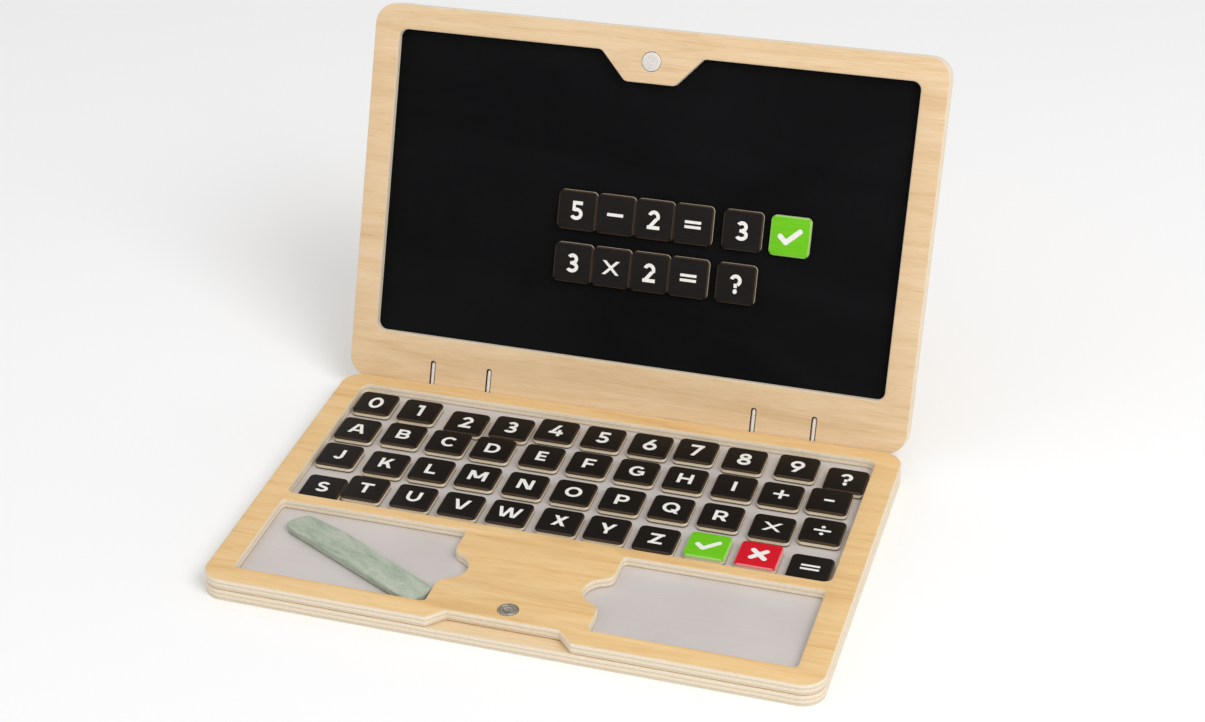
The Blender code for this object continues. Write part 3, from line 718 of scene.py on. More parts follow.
def geometry_tree(name, inputs):
    """An empty Geometry Nodes tree with named inputs: the tree, its input node and its output node."""
    tree = bpy.data.node_groups.new(name, "GeometryNodeTree")
    tree.interface.new_socket("Geometry", in_out="INPUT", socket_type="NodeSocketGeometry")
    for label, kind, value in inputs:
        socket = tree.interface.new_socket(label, in_out="INPUT", socket_type=kind)
        if value is not None:
            socket.default_value = value
    tree.interface.new_socket("Geometry", in_out="OUTPUT", socket_type="NodeSocketGeometry")
    return tree, tree.nodes.new("NodeGroupInput"), tree.nodes.new("NodeGroupOutput")


def run_tree(tree, source, values):
    """Runs a tree on an object with its inputs set by identifier, and gives the result as a plain mesh."""
    modifier = source.modifiers.new(tree.name, "NODES")
    modifier.node_group = tree
    for item in tree.interface.items_tree:
        if item.item_type == "SOCKET" and item.in_out == "INPUT" and item.name in values:
            modifier[item.identifier] = values[item.name]
    return evaluated_mesh(source)


def braid(name):
    """Braided elastic: fine crossing yarns over a rubber core, off white and a little soiled, no gloss."""
    made, tree, shader = material(name)
    place = place_on(tree, "cord_place")
    bands = []
    for way in (1, -1):
        turned = add(tree, MAPPING, Vector=place, Rotation=(0, 0, way * math.radians(45)))
        bands.append(add(tree, WAVE, {"wave_profile": "SIN"}, Vector=turned,
                         Scale=math.tau / 20).outputs["Fac"])
    weave = add(tree, MIX, {"data_type": "RGBA", "blend_type": "SCREEN"}, _0=0.5, _6=bands[0],
                _7=bands[1]).outputs[2]
    soil = add(tree, NOISE, Vector=place, Scale=0.35, Detail=3)
    colour = add(tree, RAMP, stops=((0.25, "#D2C9BA"), (0.8, "#F6F1E8")), Fac=weave)
    soiled = add(tree, RANGE, Value=soil, From_Min=0.4, From_Max=0.75, To_Min=0, To_Max=0.3)
    connect(shader, Base_Color=add(tree, MIX, BLEND, _0=soiled, _6=colour,
                                   _7=linear("#BDB29F")).outputs[2],
            Roughness=add(tree, RANGE, Value=soil, **NOISE_SPAN, To_Min=0.8, To_Max=0.92),
            Sheen_Weight=0.25,
            Normal=add(tree, BUMP, Height=weave, Distance=0.00008, Strength=0.6))
    return made


cord_tree, given, result = geometry_tree("hinge cord", [
    ("Radius", "NodeSocketFloat", CORD_RADIUS), ("Braid pitch", "NodeSocketFloat", BRAID_PITCH),
    ("Cord material", "NodeSocketMaterial", None)])
length = add(cord_tree, "GeometryNodeSplineParameter").outputs["Length"]
along = add(cord_tree, "ShaderNodeMath", {"operation": "DIVIDE"}, _0=length,
            _1=given.outputs["Braid pitch"]).outputs[0]
spine = add(cord_tree, "GeometryNodeStoreNamedAttribute", {"data_type": "FLOAT", "domain": "POINT"},
            Geometry=given.outputs["Geometry"], Name="along", Value=along)
ring = add(cord_tree, "GeometryNodeCurvePrimitiveCircle", {"mode": "RADIUS"}, Resolution=CORD_SIDES,
           Radius=given.outputs["Radius"])
share = add(cord_tree, "GeometryNodeSplineParameter").outputs["Factor"]
around = add(cord_tree, "ShaderNodeMath", {"operation": "MULTIPLY"}, _0=share, _1=YARNS_ROUND)
profile = add(cord_tree, "GeometryNodeStoreNamedAttribute", {"data_type": "FLOAT", "domain": "POINT"},
              Geometry=ring.outputs["Curve"], Name="around", Value=around)
tube = add(cord_tree, "GeometryNodeCurveToMesh", Curve=spine.outputs["Geometry"],
           Profile_Curve=profile.outputs["Geometry"])
read_along = add(cord_tree, "GeometryNodeInputNamedAttribute", {"data_type": "FLOAT"}, Name="along")
read_around = add(cord_tree, "GeometryNodeInputNamedAttribute", {"data_type": "FLOAT"}, Name="around")
both = add(cord_tree, "ShaderNodeCombineXYZ", X=read_along.outputs["Attribute"],
           Y=read_around.outputs["Attribute"])
mapped = add(cord_tree, "GeometryNodeStoreNamedAttribute", {"data_type": "FLOAT_VECTOR", "domain": "POINT"},
             Geometry=tube.outputs["Mesh"], Name="cord_place", Value=both.outputs[0])
smooth = add(cord_tree, "GeometryNodeSetShadeSmooth", Geometry=mapped.outputs["Geometry"])
real = add(cord_tree, "GeometryNodeRealizeInstances", Geometry=smooth.outputs["Geometry"])
coated = add(cord_tree, "GeometryNodeSetMaterial", Geometry=real.outputs["Geometry"],
             Material=given.outputs["Cord material"])
cord_tree.links.new(coated.outputs["Geometry"], result.inputs["Geometry"])

elastic = braid("polyester braid over rubber, off white")
for side, side_name in ((-1, "left"), (1, "right")):
    path = bpy.data.curves.new("cord path", "CURVE")
    path.dimensions = "3D"
    spline = path.splines.new("POLY")
    places = cord_route(side)
    spline.points.add(len(places) - 1)
    for point, place in zip(spline.points, places):
        point.co = (*place, 1)
    spline.use_cyclic_u = True
    cord_mesh = run_tree(cord_tree, show("cord path", path), {
        "Radius": CORD_RADIUS, "Braid pitch": BRAID_PITCH, "Cord material": elastic})
    cord = show("hinge_cord_" + side_name, merged(cord_mesh))
    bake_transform(cord)
    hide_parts("hinge_cord_base_half_" + side_name, "hinge_cord_lid_half_" + side_name)


# Chalk: a flat stick of pale grey green slate pencil, sawn and tumbled, so its corners are soft and one end
# is narrower. It lies loose across the left compartment.

CHALK_EASE = 0.9 * MM
CHALK_TURN = math.radians(-27.97)
CHALK_CREASE = math.radians(50)
chalk_low, chalk_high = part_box("chalk")


def slate(name):
    """Soft slate, sawn: cloudy grey green with darker veins, scratches along it and a dry powdery skin."""
    made, tree, shader = material(name)
    place = add(tree, COORDINATES).outputs["Object"]
    turned = add(tree, MAPPING, {"vector_type": "TEXTURE"}, Vector=place, Rotation=(0, 0, CHALK_TURN))
    drawn = add(tree, MAPPING, Vector=turned, Scale=(70, 210, 210))
    cloud = add(tree, NOISE, Vector=drawn, Scale=1, Detail=5, Roughness=0.62, Distortion=0.7)
    sawn = add(tree, MAPPING, Vector=turned, Scale=(90, 2400, 2400))
    scratch = add(tree, NOISE, Vector=sawn, Scale=1, Detail=3, Roughness=0.6)
    grit = add(tree, NOISE, Vector=place, Scale=1800, Detail=3, Roughness=0.6)
    colour = add(tree, RAMP, Fac=cloud,
                 stops=((0.28, "#93A08F"), (0.45, "#A9B4A3"), (0.6, "#B9BFB0"), (0.78, "#C6C6B8")))
    powder = add(tree, RAMP, stops=((0.3, "#CDD2C6"), (0.6, "#FFFFFF")), Fac=grit)
    relief = add(tree, MIX, BLEND, _0=0.6, _6=grit, _7=scratch).outputs[2]
    connect(shader, Base_Color=add(tree, MIX, MULTIPLY, _0=0.8, _6=colour, _7=powder).outputs[2],
            Roughness=add(tree, RANGE, Value=cloud, **NOISE_SPAN, To_Min=0.72, To_Max=0.86),
            Normal=add(tree, BUMP, Height=relief, Distance=0.00012, Strength=0.7))
    return made


chalk_outline = rounded([
    (-52 * MM, -9.2 * MM, 5 * MM), (50.5 * MM, -9.3 * MM, 6 * MM), (52.3 * MM, 0, 10 * MM),
    (50 * MM, 7.9 * MM, 3 * MM), (20 * MM, 8.4 * MM, 60 * MM), (-20 * MM, 9.4 * MM, 40 * MM),
    (-48 * MM, 6.5 * MM, 6 * MM)])
chalk_mesh = board(chalk_outline, [], 0, chalk_high.z - chalk_low.z, CHALK_EASE)
chalk_mesh.transform(Matrix.Translation(((chalk_low.x + chalk_high.x) / 2, (chalk_low.y + chalk_high.y) / 2,
                                         chalk_low.z)) @ Matrix.Rotation(CHALK_TURN, 4, "Z"))
chalk_mesh.shade_smooth()
chalk_mesh.set_sharp_from_angle(angle=CHALK_CREASE)
chalk_mesh.materials.clear()
chalk_mesh.materials.append(slate("slate pencil, sawn and tumbled"))
chalk = show("chalk_stick", chalk_mesh)
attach(chalk, "chalk")
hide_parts("chalk")


# Tiles: small plywood blocks with a magnet sheet glued underneath. The top is printed black, green or red
# over the eased upper edge, and the character is screen printed on it in thick off white ink.

tile_low, tile_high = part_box("tile_E")
TILE_SIZE = tile_high.x - tile_low.x
TILE_THICKNESS = tile_high.z - tile_low.z
TILE_CORNER = 3 * MM
TILE_JOIN = 0.1 * MM
MAGNET_SHEET = 0.5 * MM
TILE_EASE = 0.9 * MM
PRINT_SKIRT = 0.6 * MM
EASE_STEPS = 4
TILE_SHRINK = 0.05 * MM
INK_SUNK = 0.04 * MM
INK_PROUD = 0.035 * MM

tile_tree, given, result = geometry_tree("loose tile", [
    ("Size", "NodeSocketFloat", TILE_SIZE), ("Corner", "NodeSocketFloat", TILE_CORNER),
    ("Thickness", "NodeSocketFloat", TILE_THICKNESS), ("Magnet", "NodeSocketFloat", MAGNET_SHEET),
    ("Ease", "NodeSocketFloat", TILE_EASE), ("Skirt", "NodeSocketFloat", PRINT_SKIRT),
    ("Magnet material", "NodeSocketMaterial", None),
    ("Wood material", "NodeSocketMaterial", None), ("Print material", "NodeSocketMaterial", None)])


def raise_face(geometry, height, finish, selection=None):
    """Extrudes the top face and gives its new side walls a material. Gives the geometry and new top."""
    grown = add(tile_tree, "GeometryNodeExtrudeMesh", {"mode": "FACES"}, Mesh=geometry, Offset_Scale=height,
                Individual=False)
    if selection:
        tile_tree.links.new(selection, grown.inputs["Selection"])
    coat = add(tile_tree, "GeometryNodeSetMaterial", Geometry=grown.outputs["Mesh"],
               Selection=grown.outputs["Side"], Material=finish)
    return coat.outputs["Geometry"], grown.outputs["Top"]


square = add(tile_tree, "GeometryNodeCurvePrimitiveQuadrilateral", Width=given.outputs["Size"],
             Height=given.outputs["Size"])
corners = add(tile_tree, "GeometryNodeFilletCurve", {"mode": "POLY"}, Curve=square.outputs["Curve"], Count=8,
              Radius=given.outputs["Corner"], Limit_Radius=True)
plate = add(tile_tree, "GeometryNodeFillCurve", {"mode": "NGONS"}, Curve=corners.outputs["Curve"])
under = add(tile_tree, "GeometryNodeFlipFaces", Mesh=plate.outputs["Mesh"])
under = add(tile_tree, "GeometryNodeSetMaterial", Geometry=under.outputs["Mesh"],
            Material=given.outputs["Magnet material"])
body, top = raise_face(plate.outputs["Mesh"], given.outputs["Magnet"], given.outputs["Magnet material"])
straight = given.outputs["Thickness"]
for layer in ("Magnet", "Ease", "Skirt"):
    straight = add(tile_tree, MATH, {"operation": "SUBTRACT"}, _0=straight, _1=given.outputs[layer])
body, top = raise_face(body, straight, given.outputs["Wood material"], top)
body, top = raise_face(body, given.outputs["Skirt"], given.outputs["Print material"], top)
half_size = add(tile_tree, MATH, {"operation": "MULTIPLY"}, _0=given.outputs["Size"], _1=0.5)
for step in range(1, EASE_STEPS + 1):
    angles = [math.pi / 2 * s / EASE_STEPS for s in (step - 1, step)]
    rise = add(tile_tree, MATH, {"operation": "MULTIPLY"}, _0=given.outputs["Ease"],
               _1=math.sin(angles[1]) - math.sin(angles[0]))
    body, top = raise_face(body, rise, given.outputs["Print material"], top)
    insets = []
    for angle in angles:
        inset = add(tile_tree, MATH, {"operation": "MULTIPLY"}, _0=given.outputs["Ease"],
                    _1=1 - math.cos(angle))
        insets.append(add(tile_tree, MATH, {"operation": "SUBTRACT"}, _0=half_size, _1=inset))
    shrink = add(tile_tree, MATH, {"operation": "DIVIDE"}, _0=insets[1], _1=insets[0])
    scaled = add(tile_tree, "GeometryNodeScaleElements", Geometry=body, Selection=top, Scale=shrink)
    body = scaled.outputs["Geometry"]
capped = add(tile_tree, "GeometryNodeSetMaterial", Geometry=body, Selection=top,
             Material=given.outputs["Print material"])
whole = add(tile_tree, "GeometryNodeJoinGeometry")
for part in (under, capped):
    tile_tree.links.new(part.outputs["Geometry"], whole.inputs["Geometry"])
welded = add(tile_tree, "GeometryNodeMergeByDistance", Geometry=whole.outputs["Geometry"], Distance=WELD)
real = add(tile_tree, "GeometryNodeRealizeInstances", Geometry=welded.outputs["Geometry"])
tile_tree.links.new(real.outputs["Geometry"], result.inputs["Geometry"])


def tile_wood(name):
    """Thin birch plywood, laser cut and sanded: pale cream with one darker layer line and fine fibres."""
    made, tree, shader = material(name)
    depth = add(tree, SPLIT, Vector=place_on(tree, "tile_place")).outputs["Z"]
    fibre = add(tree, NOISE, Vector=place_on(tree, "tile_place", (350, 350, 2600)), Scale=1, Detail=3,
                Roughness=0.6)
    share = add(tree, RANGE, Value=depth, From_Min=0, From_Max=TILE_THICKNESS, To_Min=0, To_Max=1)
    layers = add(tree, RAMP, Fac=share,
                 stops=((0.13, "#CDBFA0"), (0.3, "#E7DDC4"), (0.44, "#E3D7BC"), (0.5, "#C9B793"),
                        (0.56, "#E9DFC8")))
    fibres = add(tree, RAMP, stops=((0.35, "#E4DAC8"), (0.6, "#FFFFFF")), Fac=fibre)
    connect(shader, Base_Color=add(tree, MIX, MULTIPLY, _0=0.6, _6=layers, _7=fibres).outputs[2],
            Roughness=add(tree, RANGE, Value=fibre, **NOISE_SPAN, To_Min=0.6, To_Max=0.72),
            Normal=add(tree, BUMP, Height=fibre, Distance=0.00006, Strength=0.6))
    return made


def printed_top(name, colour, lit, rim, rim_share):
    """Ink printed over sanded birch: faint lines of grain in a satin film, and a painted highlight that
    lightens the print over the eased edge.
    """
    made, tree, shader = material(name)
    grain = add(tree, NOISE, Vector=place_on(tree, "tile_place", (90, 1500, 400)), Scale=1, Detail=3,
                Roughness=0.55, Distortion=0.3)
    flat = add(tree, "ShaderNodeVectorMath", {"operation": "ABSOLUTE"}, _0=place_on(tree, "tile_place"))
    sides = add(tree, SPLIT, Vector=flat)
    outer = add(tree, MATH, {"operation": "MAXIMUM"}, _0=sides.outputs["X"], _1=sides.outputs["Y"])
    # Painted highlight: the print is mixed towards a lighter colour over the eased edge, where the rounded
    # edge catches the light
    painted_rim_highlight = add(tree, RANGE, Value=outer, From_Min=TILE_SIZE / 2 - TILE_EASE,
               From_Max=TILE_SIZE / 2 - 0.3 * TILE_EASE, To_Min=0, To_Max=rim_share)
    printed = add(tree, RAMP, stops=((0.35, colour), (0.75, lit)), Fac=grain)
    connect(shader, Base_Color=add(tree, MIX, BLEND, _0=painted_rim_highlight, _6=printed, _7=linear(rim)).outputs[2],
            Roughness=add(tree, RANGE, Value=grain, **NOISE_SPAN, To_Min=0.5, To_Max=0.6),
            Specular_IOR_Level=0.2,
            Normal=add(tree, BUMP, Height=grain, Distance=0.00004, Strength=0.6))
    return made


birch_core = tile_wood("birch plywood tile edge, laser cut")
# Flexible magnet sheet, ferrite in rubber: dark brown grey and matt, with a calendered grain
ferrite = fine_grained("ferrite rubber magnet sheet", "tile_place", 2200, 2,
                       ((0.3, "#2A2420"), (0.7, "#3A332E")), 0.65, 0.8, 0.00003, 0.5)
# The fourth colour of each print is the lighter tone of its painted highlight over the eased edge
black_print = printed_top("black ink printed on birch", "#090503", "#150E0A", "#5A4634", 0.6)
green_print = printed_top("green ink printed on birch", "#64BC10", "#76C81E", "#C4E29A", 0.6)
red_print = printed_top("red ink printed on birch", "#C8081E", "#D61029", "#F0B4B0", 0.6)
# Thick screen printed ink: slightly uneven where the mesh left it, semi matt
white_ink = fine_grained("off white screen ink", "tile_place", 900, 3,
                         ((0.3, "#E4E1DB"), (0.7, "#F2F0EC")), 0.5, 0.62, 0.00002, 0.4)

# Characters are drawn in millimetres with a cap height of 9.4, from upright strokes, leaning strokes and bows
CAP = 9.4
STEM = 2.1
BAR = 1.8
MID = CAP / 2


def box_stroke(x0, y0, x1, y1):
    return [[(x0, y0), (x1, y0), (x1, y1), (x0, y1)]]


def lean(foot, head, low=0.0, high=CAP, width=STEM):
    """A straight stroke from a foot centre to a head centre, cut level at both ends."""
    half = width / 2 * math.hypot(head - foot, high - low) / (high - low)
    return [[(foot - half, low), (foot + half, low), (head + half, high), (head - half, high)]]


def bow(x, y, rx, ry, start, end, width=STEM, bar=BAR):
    """A curved band about a centre: rx and ry are its outer half width and half height, in pieces."""
    count = max(1, math.ceil(abs(end - start) / 90))
    bands = []
    for piece in range(count):
        a, b = (math.radians(start + (end - start) * i / count) for i in (piece, piece + 1))
        turn = [a + (b - a) * i / 8 for i in range(9)]
        outer = [(x + rx * math.cos(t), y + ry * math.sin(t)) for t in turn]
        inner = [(x + (rx - width) * math.cos(t), y + (ry - bar) * math.sin(t)) for t in turn]
        bands.append(outer + inner[::-1])
    return bands


def dot(x, y, radius):
    return [circle(x, y, radius, 20)]


def rod(x0, y0, x1, y1, width):
    """A straight stroke with round ends."""
    angle = math.atan2(y1 - y0, x1 - x0)
    quarter = math.pi / 2
    return [arc((x1, y1), width / 2, angle - quarter, angle + quarter)
            + arc((x0, y0), width / 2, angle + quarter, angle + 3 * quarter)]


def mirrored(strokes, width):
    return [[(width - x, y) for x, y in stroke][::-1] for stroke in strokes]


def half_turned(strokes, width):
    return [[(width - x, CAP - y) for x, y in stroke] for stroke in strokes]


upright = box_stroke(0, 0, STEM, CAP)
v_arm = lean(4.6, 1.2)
w_arm = lean(3.9, 1.2, width=2.0)
six = bow(4.1, 3.2, 4.1, 3.2, 0, 360) + lean(1.5, 5.4, 4.2, CAP, 2.0)
CHARACTERS = {
    "A": lean(1.2, 4.7) + lean(9.4, 5.9) + box_stroke(2.6, 1.9, 8.0, 3.5),
    "B": upright + box_stroke(1, 7.6, 4.6, CAP) + box_stroke(1, 4.0, 4.9, 5.7) + box_stroke(1, 0, 4.9, BAR)
    + bow(4.6, 6.7, 3.1, 2.7, -90, 90) + bow(4.9, 2.85, 3.3, 2.85, -90, 90),
    "C": bow(4.9, MID, 4.9, 4.85, 42, 318),
    "D": upright + box_stroke(1, 7.6, 4.2, CAP) + box_stroke(1, 0, 4.2, BAR)
    + bow(4.2, MID, 4.7, MID, -90, 90),
    "E": upright + box_stroke(1, 7.6, 6.4, CAP) + box_stroke(1, 3.85, 5.9, 5.55)
    + box_stroke(1, 0, 6.4, BAR),
    "F": upright + box_stroke(1, 7.6, 7, CAP) + box_stroke(1, 3.3, 6.4, 5.05),
    "G": bow(4.9, MID, 4.9, 4.85, 45, 322) + box_stroke(7.4, 1.3, 9.4, 5.1) + box_stroke(5.2, 3.5, 9.4, 5.1),
    "H": upright + box_stroke(6.9, 0, 9.0, CAP) + box_stroke(1, 3.8, 8, 5.6),
    "I": upright,
    "J": box_stroke(4.2, 3.2, 6.3, CAP) + bow(3.15, 3.2, 3.15, 3.3, 205, 360),
    "K": upright + lean(2.4, 6.7, 3.2, CAP) + lean(7.3, 4.0, 0, 5.6),
    "L": upright + box_stroke(1, 0, 6.8, BAR),
    "M": upright + box_stroke(9.0, 0, 11.1, CAP) + lean(5.2, 1.4, 2.2, CAP, 2.2)
    + lean(5.9, 9.7, 2.2, CAP, 2.2),
    "N": upright + box_stroke(7.3, 0, 9.4, CAP) + lean(7.9, 1.5, 0, CAP, 2.3),
    "O": bow(5.1, MID, 5.1, 4.85, 0, 360),
    "P": upright + box_stroke(1, 7.6, 4.5, CAP) + box_stroke(1, 2.9, 4.5, 4.6)
    + bow(4.5, 6.15, 3.5, 3.25, -90, 90),
    "Q": bow(5.1, MID, 5.1, 4.85, 0, 360) + lean(9.2, 6.2, -0.7, 3.2, 1.9),
    "R": upright + box_stroke(1, 7.6, 4.5, CAP) + box_stroke(1, 2.9, 4.5, 4.6)
    + bow(4.5, 6.15, 3.5, 3.25, -90, 90) + lean(7.2, 4.6, 0, 3.6),
    "S": bow(3.9, 6.75, 3.6, 2.75, 25, 270) + bow(3.9, 2.7, 3.9, 2.8, -155, 90),
    "T": box_stroke(0, 7.6, 8.4, CAP) + box_stroke(3.15, 0, 5.25, 8),
    "U": box_stroke(0, 4.3, STEM, CAP) + box_stroke(6.8, 4.3, 8.9, CAP)
    + bow(4.45, 4.3, 4.45, 4.45, 180, 360),
    "V": v_arm + mirrored(v_arm, 10.2),
    "W": w_arm + mirrored(w_arm, 8.6) + [[(x + 6.2, y) for x, y in s] for s in w_arm + mirrored(w_arm, 8.6)],
    "X": lean(1.3, 7.3) + lean(7.3, 1.3),
    "Y": lean(4.5, 1.3, 3.9, CAP) + lean(5.1, 8.3, 3.9, CAP) + box_stroke(3.75, 0, 5.85, 4.6),
    "Z": box_stroke(0, 7.6, 8.2, CAP) + box_stroke(0, 0, 8.2, BAR) + lean(1.7, 6.5, 1, 8.4),
    "0": bow(4.4, MID, 4.4, 4.85, 0, 360),
    "1": box_stroke(2.1, 0, 4.2, CAP) + box_stroke(0, 7.5, 3, CAP),
    "2": bow(3.9, 6.2, 3.7, 3.3, -20, 160) + lean(1.8, 6.0, 1, 5.6, 2.0) + box_stroke(0.2, 0, 7.9, BAR),
    "3": bow(3.7, 6.75, 3.4, 2.75, -90, 150) + bow(3.7, 2.7, 3.9, 2.8, -150, 90)
    + box_stroke(2.4, 3.9, 4, 5.5),
    "4": lean(1.4, 5.4, 2.0, CAP, 1.9) + box_stroke(0.1, 1.9, 8.8, 3.6) + box_stroke(5.4, 0, 7.4, 5.4),
    "5": box_stroke(1.2, 7.6, 7.3, CAP) + box_stroke(1.2, 4.4, 3.1, CAP)
    + bow(3.7, 3.0, 4.0, 3.1, -150, 125),
    "6": six,
    "7": box_stroke(0, 7.6, 7.9, CAP) + lean(2.8, 6.6, 0, 8.4),
    "8": bow(4.0, 6.9, 3.5, 2.6, 0, 360) + bow(4.0, 2.7, 4.0, 2.8, 0, 360),
    "9": half_turned(six, 8.2),
    "query": bow(3.6, 6.4, 3.6, 3.1, -60, 165) + box_stroke(2.7, 2.8, 4.7, 4.9) + dot(3.7, 1.0, 1.25),
    "plus": box_stroke(0, 3.85, 8.6, 5.55) + box_stroke(3.45, 0.4, 5.15, 9.0),
    "minus": box_stroke(0, 3.8, 5.6, 5.6),
    "times": lean(0.8, 8.8, 0.8, 8.8, 1.5) + lean(8.8, 0.8, 0.8, 8.8, 1.5),
    "divide": box_stroke(0, 3.9, 9.2, 5.5) + dot(4.6, 8.0, 1.15) + dot(4.6, 1.4, 1.15),
    "equals": box_stroke(0, 5.5, 10, 7.1) + box_stroke(0, 2.3, 10, 3.9),
    "tick": rod(1.6, 4.6, 5.0, 1.4, 2.9) + rod(5.0, 1.4, 12.4, 8.2, 2.9),
    "cross": rod(1.6, 1.4, 8.6, 8.4, 3.0) + rod(8.6, 1.4, 1.6, 8.4, 3.0),
}
LETTER_STRETCH = (0.93, 1.0)
FIGURE_STRETCH = (0.95, 1.2)
SIGNS = ("plus", "minus", "times", "divide", "equals", "tick", "cross")


def stretch_of(character):
    """Letters are wide, figures tall, and signs as drawn."""
    if character in SIGNS:
        return (1, 1)
    return LETTER_STRETCH if character.isalpha() and len(character) == 1 else FIGURE_STRETCH


SCREEN_STRETCH = (0.95, 1.14)


def character_mesh(strokes, stretch, height):
    """The strokes merged into one flat shape, centred, and raised into a thin closed film of ink."""
    xs = [x for stroke in strokes for x, _ in stroke]
    ys = [y for stroke in strokes for _, y in stroke]
    centre = ((min(xs) + max(xs)) / 2, (min(ys) + max(ys)) / 2)
    points, outlines = [], []
    for stroke in strokes:
        outlines.append(list(range(len(points), len(points) + len(stroke))))
        points += [Vector(((x - centre[0]) * stretch[0], (y - centre[1]) * stretch[1])) for x, y in stroke]
    verts, _, faces, _, _, covered = delaunay_2d_cdt(points, [], outlines, 0, 1e-4)
    shape = bmesh.new()
    made = [shape.verts.new((v.x * MM, v.y * MM, height - INK_SUNK)) for v in verts]
    flat = [shape.faces.new([made[i] for i in face]) for face, source in zip(faces, covered) if source]
    bmesh.ops.delete(shape, geom=[v for v in shape.verts if not v.link_faces], context="VERTS")
    raised = bmesh.ops.extrude_face_region(shape, geom=flat)["geom"]
    top = [item for item in raised if isinstance(item, bmesh.types.BMVert)]
    bmesh.ops.translate(shape, verts=top, vec=(0, 0, INK_SUNK + INK_PROUD))
    return as_mesh(shape, "character")


def tile(name, character, node, body, centre, lean_back=None, stretch=(1, 1)):
    """One finished tile: its block from the tree, and its character in ink, on its place."""
    prints = {"tick": green_print, "cross": red_print}
    block_mesh = run_tree(tile_tree, show("tile", bpy.data.meshes.new("tile")), {
        "Size": TILE_SIZE - 2 * TILE_SHRINK, "Corner": TILE_CORNER, "Thickness": TILE_THICKNESS,
        "Magnet": MAGNET_SHEET, "Ease": TILE_EASE, "Skirt": PRINT_SKIRT, "Magnet material": ferrite,
        "Wood material": birch_core,
        "Print material": prints.get(character, black_print)})
    ink_mesh = character_mesh(CHARACTERS[character], stretch, TILE_THICKNESS)
    shape = bmesh.new()
    shape.from_mesh(block_mesh)
    bmesh.ops.recalc_face_normals(shape, faces=shape.faces)
    inked = len(shape.faces)
    shape.from_mesh(ink_mesh)
    shape.faces.ensure_lookup_table()
    for face in shape.faces[inked:]:
        face.material_index = len(block_mesh.materials)
    shape.to_mesh(block_mesh)
    shape.free()
    block_mesh.materials.append(white_ink)
    block_mesh.shade_smooth()
    block_mesh.set_sharp_from_angle(angle=SMALL_CREASE)
    stored = block_mesh.attributes.new("tile_place", "FLOAT_VECTOR", "POINT")
    for vertex in block_mesh.vertices:
        stored.data[vertex.index].vector = vertex.co
    turn = lean_back or Matrix.Identity(4)
    block_mesh.transform(Matrix.Translation(centre) @ turn @ Matrix.Translation((0, 0, -TILE_THICKNESS / 2)))
    piece = show(name, block_mesh)
    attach(piece, body)
    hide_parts(node)


def centre_of(node):
    low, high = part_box(node)
    return (low + high) / 2


half_tile = Vector((TILE_SIZE / 2, TILE_SIZE / 2, TILE_THICKNESS / 2))
PAIRS = {"tile_C_and_2": ("C", "2"), "tile_minus_and_query": ("minus", "query")}
for node in sorted(name for name in frame["nodes"] if name.startswith("tile_")):
    if node in PAIRS:
        front, rear = PAIRS[node]
        low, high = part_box(node)
        tile("key_" + front, front, node, node, low + half_tile, None, stretch_of(front))
        tile("key_" + rear, rear, node, node, high - half_tile, None, stretch_of(rear))
    else:
        character = node.removeprefix("tile_")
        tile("key_" + character, character, node, node, centre_of(node), None, stretch_of(character))


# Tiles on the chalkboard: two sums, each a run of four touching tiles and then single ones. They are the
# same blocks as the keys, with taller, narrower figures.

lid_turn = Matrix.Rotation(math.pi - OPEN_ANGLE, 4, "X")
ON_SCREEN = {
    "screen_tiles_5_minus_2_equals": ("subtraction", ("5", "minus_sign", "2", "equals_sign")),
    "screen_tile_3": ("subtraction_answer", ("3",)),
    "screen_tile_tick": ("subtraction_mark", ("tick",)),
    "screen_tiles_3_times_2_equals": ("multiplication", ("3", "times", "2", "equals_sign")),
    "screen_tile_query": ("multiplication_answer", ("query",)),
}
CHARACTERS["minus_sign"] = box_stroke(0, 3.85, 9.4, 5.6)
CHARACTERS["equals_sign"] = box_stroke(0, 5.3, 9.4, 6.9) + box_stroke(0, 2.5, 9.4, 4.1)
for node, (line, characters) in ON_SCREEN.items():
    middle = centre_of(node)
    for number, character in enumerate(characters):
        across = (number - (len(characters) - 1) / 2) * (TILE_SIZE - TILE_JOIN)
        is_figure = character in ("2", "3", "5", "query")
        tile(f"{line}_{number + 1}_{character}", character, node, node, middle + Vector((across, 0, 0)),
             lid_turn, SCREEN_STRETCH if is_figure else (1, 1))


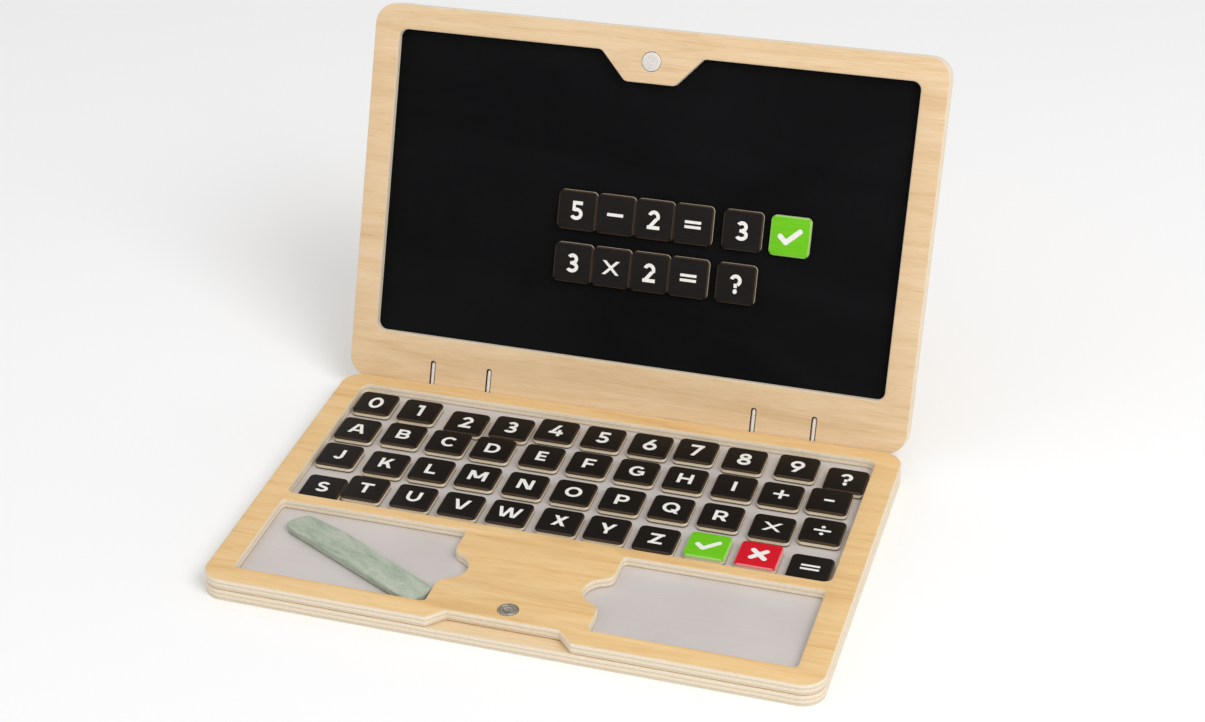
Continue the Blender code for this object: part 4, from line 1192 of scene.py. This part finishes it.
# Studio: a pale matt floor, one large soft light above on the right, a weaker one on the left and an even
# white sky. The camera stands in front and to the right of the case, and looks down on the open lid.

CAMERA_PLACE = (0.33483, -1.07233, 0.76194)
CAMERA_TURN = (59.753, 2.344, 20.001)
SENSOR = 36
FOCAL = 74.67
FRAME_SHIFT = (0.1622, 0.0042)

scene = bpy.context.scene
camera_data = bpy.data.cameras.new("camera")
camera_data.sensor_width = SENSOR
camera_data.lens = FOCAL
camera_data.shift_x, camera_data.shift_y = FRAME_SHIFT
camera_data.clip_start = 0.01
camera = bpy.data.objects.new("camera", camera_data)
camera.location = CAMERA_PLACE
camera.rotation_euler = Euler([math.radians(angle) for angle in CAMERA_TURN])
scene.collection.objects.link(camera)
scene.camera = camera
scene.view_settings.view_transform = "Standard"

FLOOR_REACH = 6.0
floor_mesh = bpy.data.meshes.new("floor")
floor_mesh.from_pydata([(x * FLOOR_REACH, y * FLOOR_REACH, -0.0001) for x, y in
                        ((-1, -1), (1, -1), (1, 1), (-1, 1))], [], [(0, 1, 2, 3)])
floor_finish, _, floor_shader = material("white studio paper, matt")
floor_shader.inputs["Base Color"].default_value = linear("#F7F7F7")
floor_shader.inputs["Roughness"].default_value = 0.9
floor_shader.inputs["Specular IOR Level"].default_value = 0.1
floor_mesh.materials.append(floor_finish)
floor = show("floor", floor_mesh)


def soft_light(name, place, size, power):
    """A square soft box that points at the object."""
    light = bpy.data.lights.new(name, "AREA")
    light.size = size
    light.energy = power
    lamp = bpy.data.objects.new(name, light)
    lamp.location = place
    lamp.rotation_euler = (Vector((0, 0, 0.05)) - Vector(place)).to_track_quat("-Z", "Y").to_euler()
    scene.collection.objects.link(lamp)


soft_light("key light", (1.3, -0.9, 1.7), 1.2, 26)
soft_light("fill light", (-1.8, -1.2, 1.5), 1.8, 5)
world = bpy.data.worlds.new("sky")
scene.world = world
world.use_nodes = True
world.node_tree.nodes["Background"].inputs["Color"].default_value = (1, 1, 1, 1)
world.node_tree.nodes["Background"].inputs["Strength"].default_value = 0.7
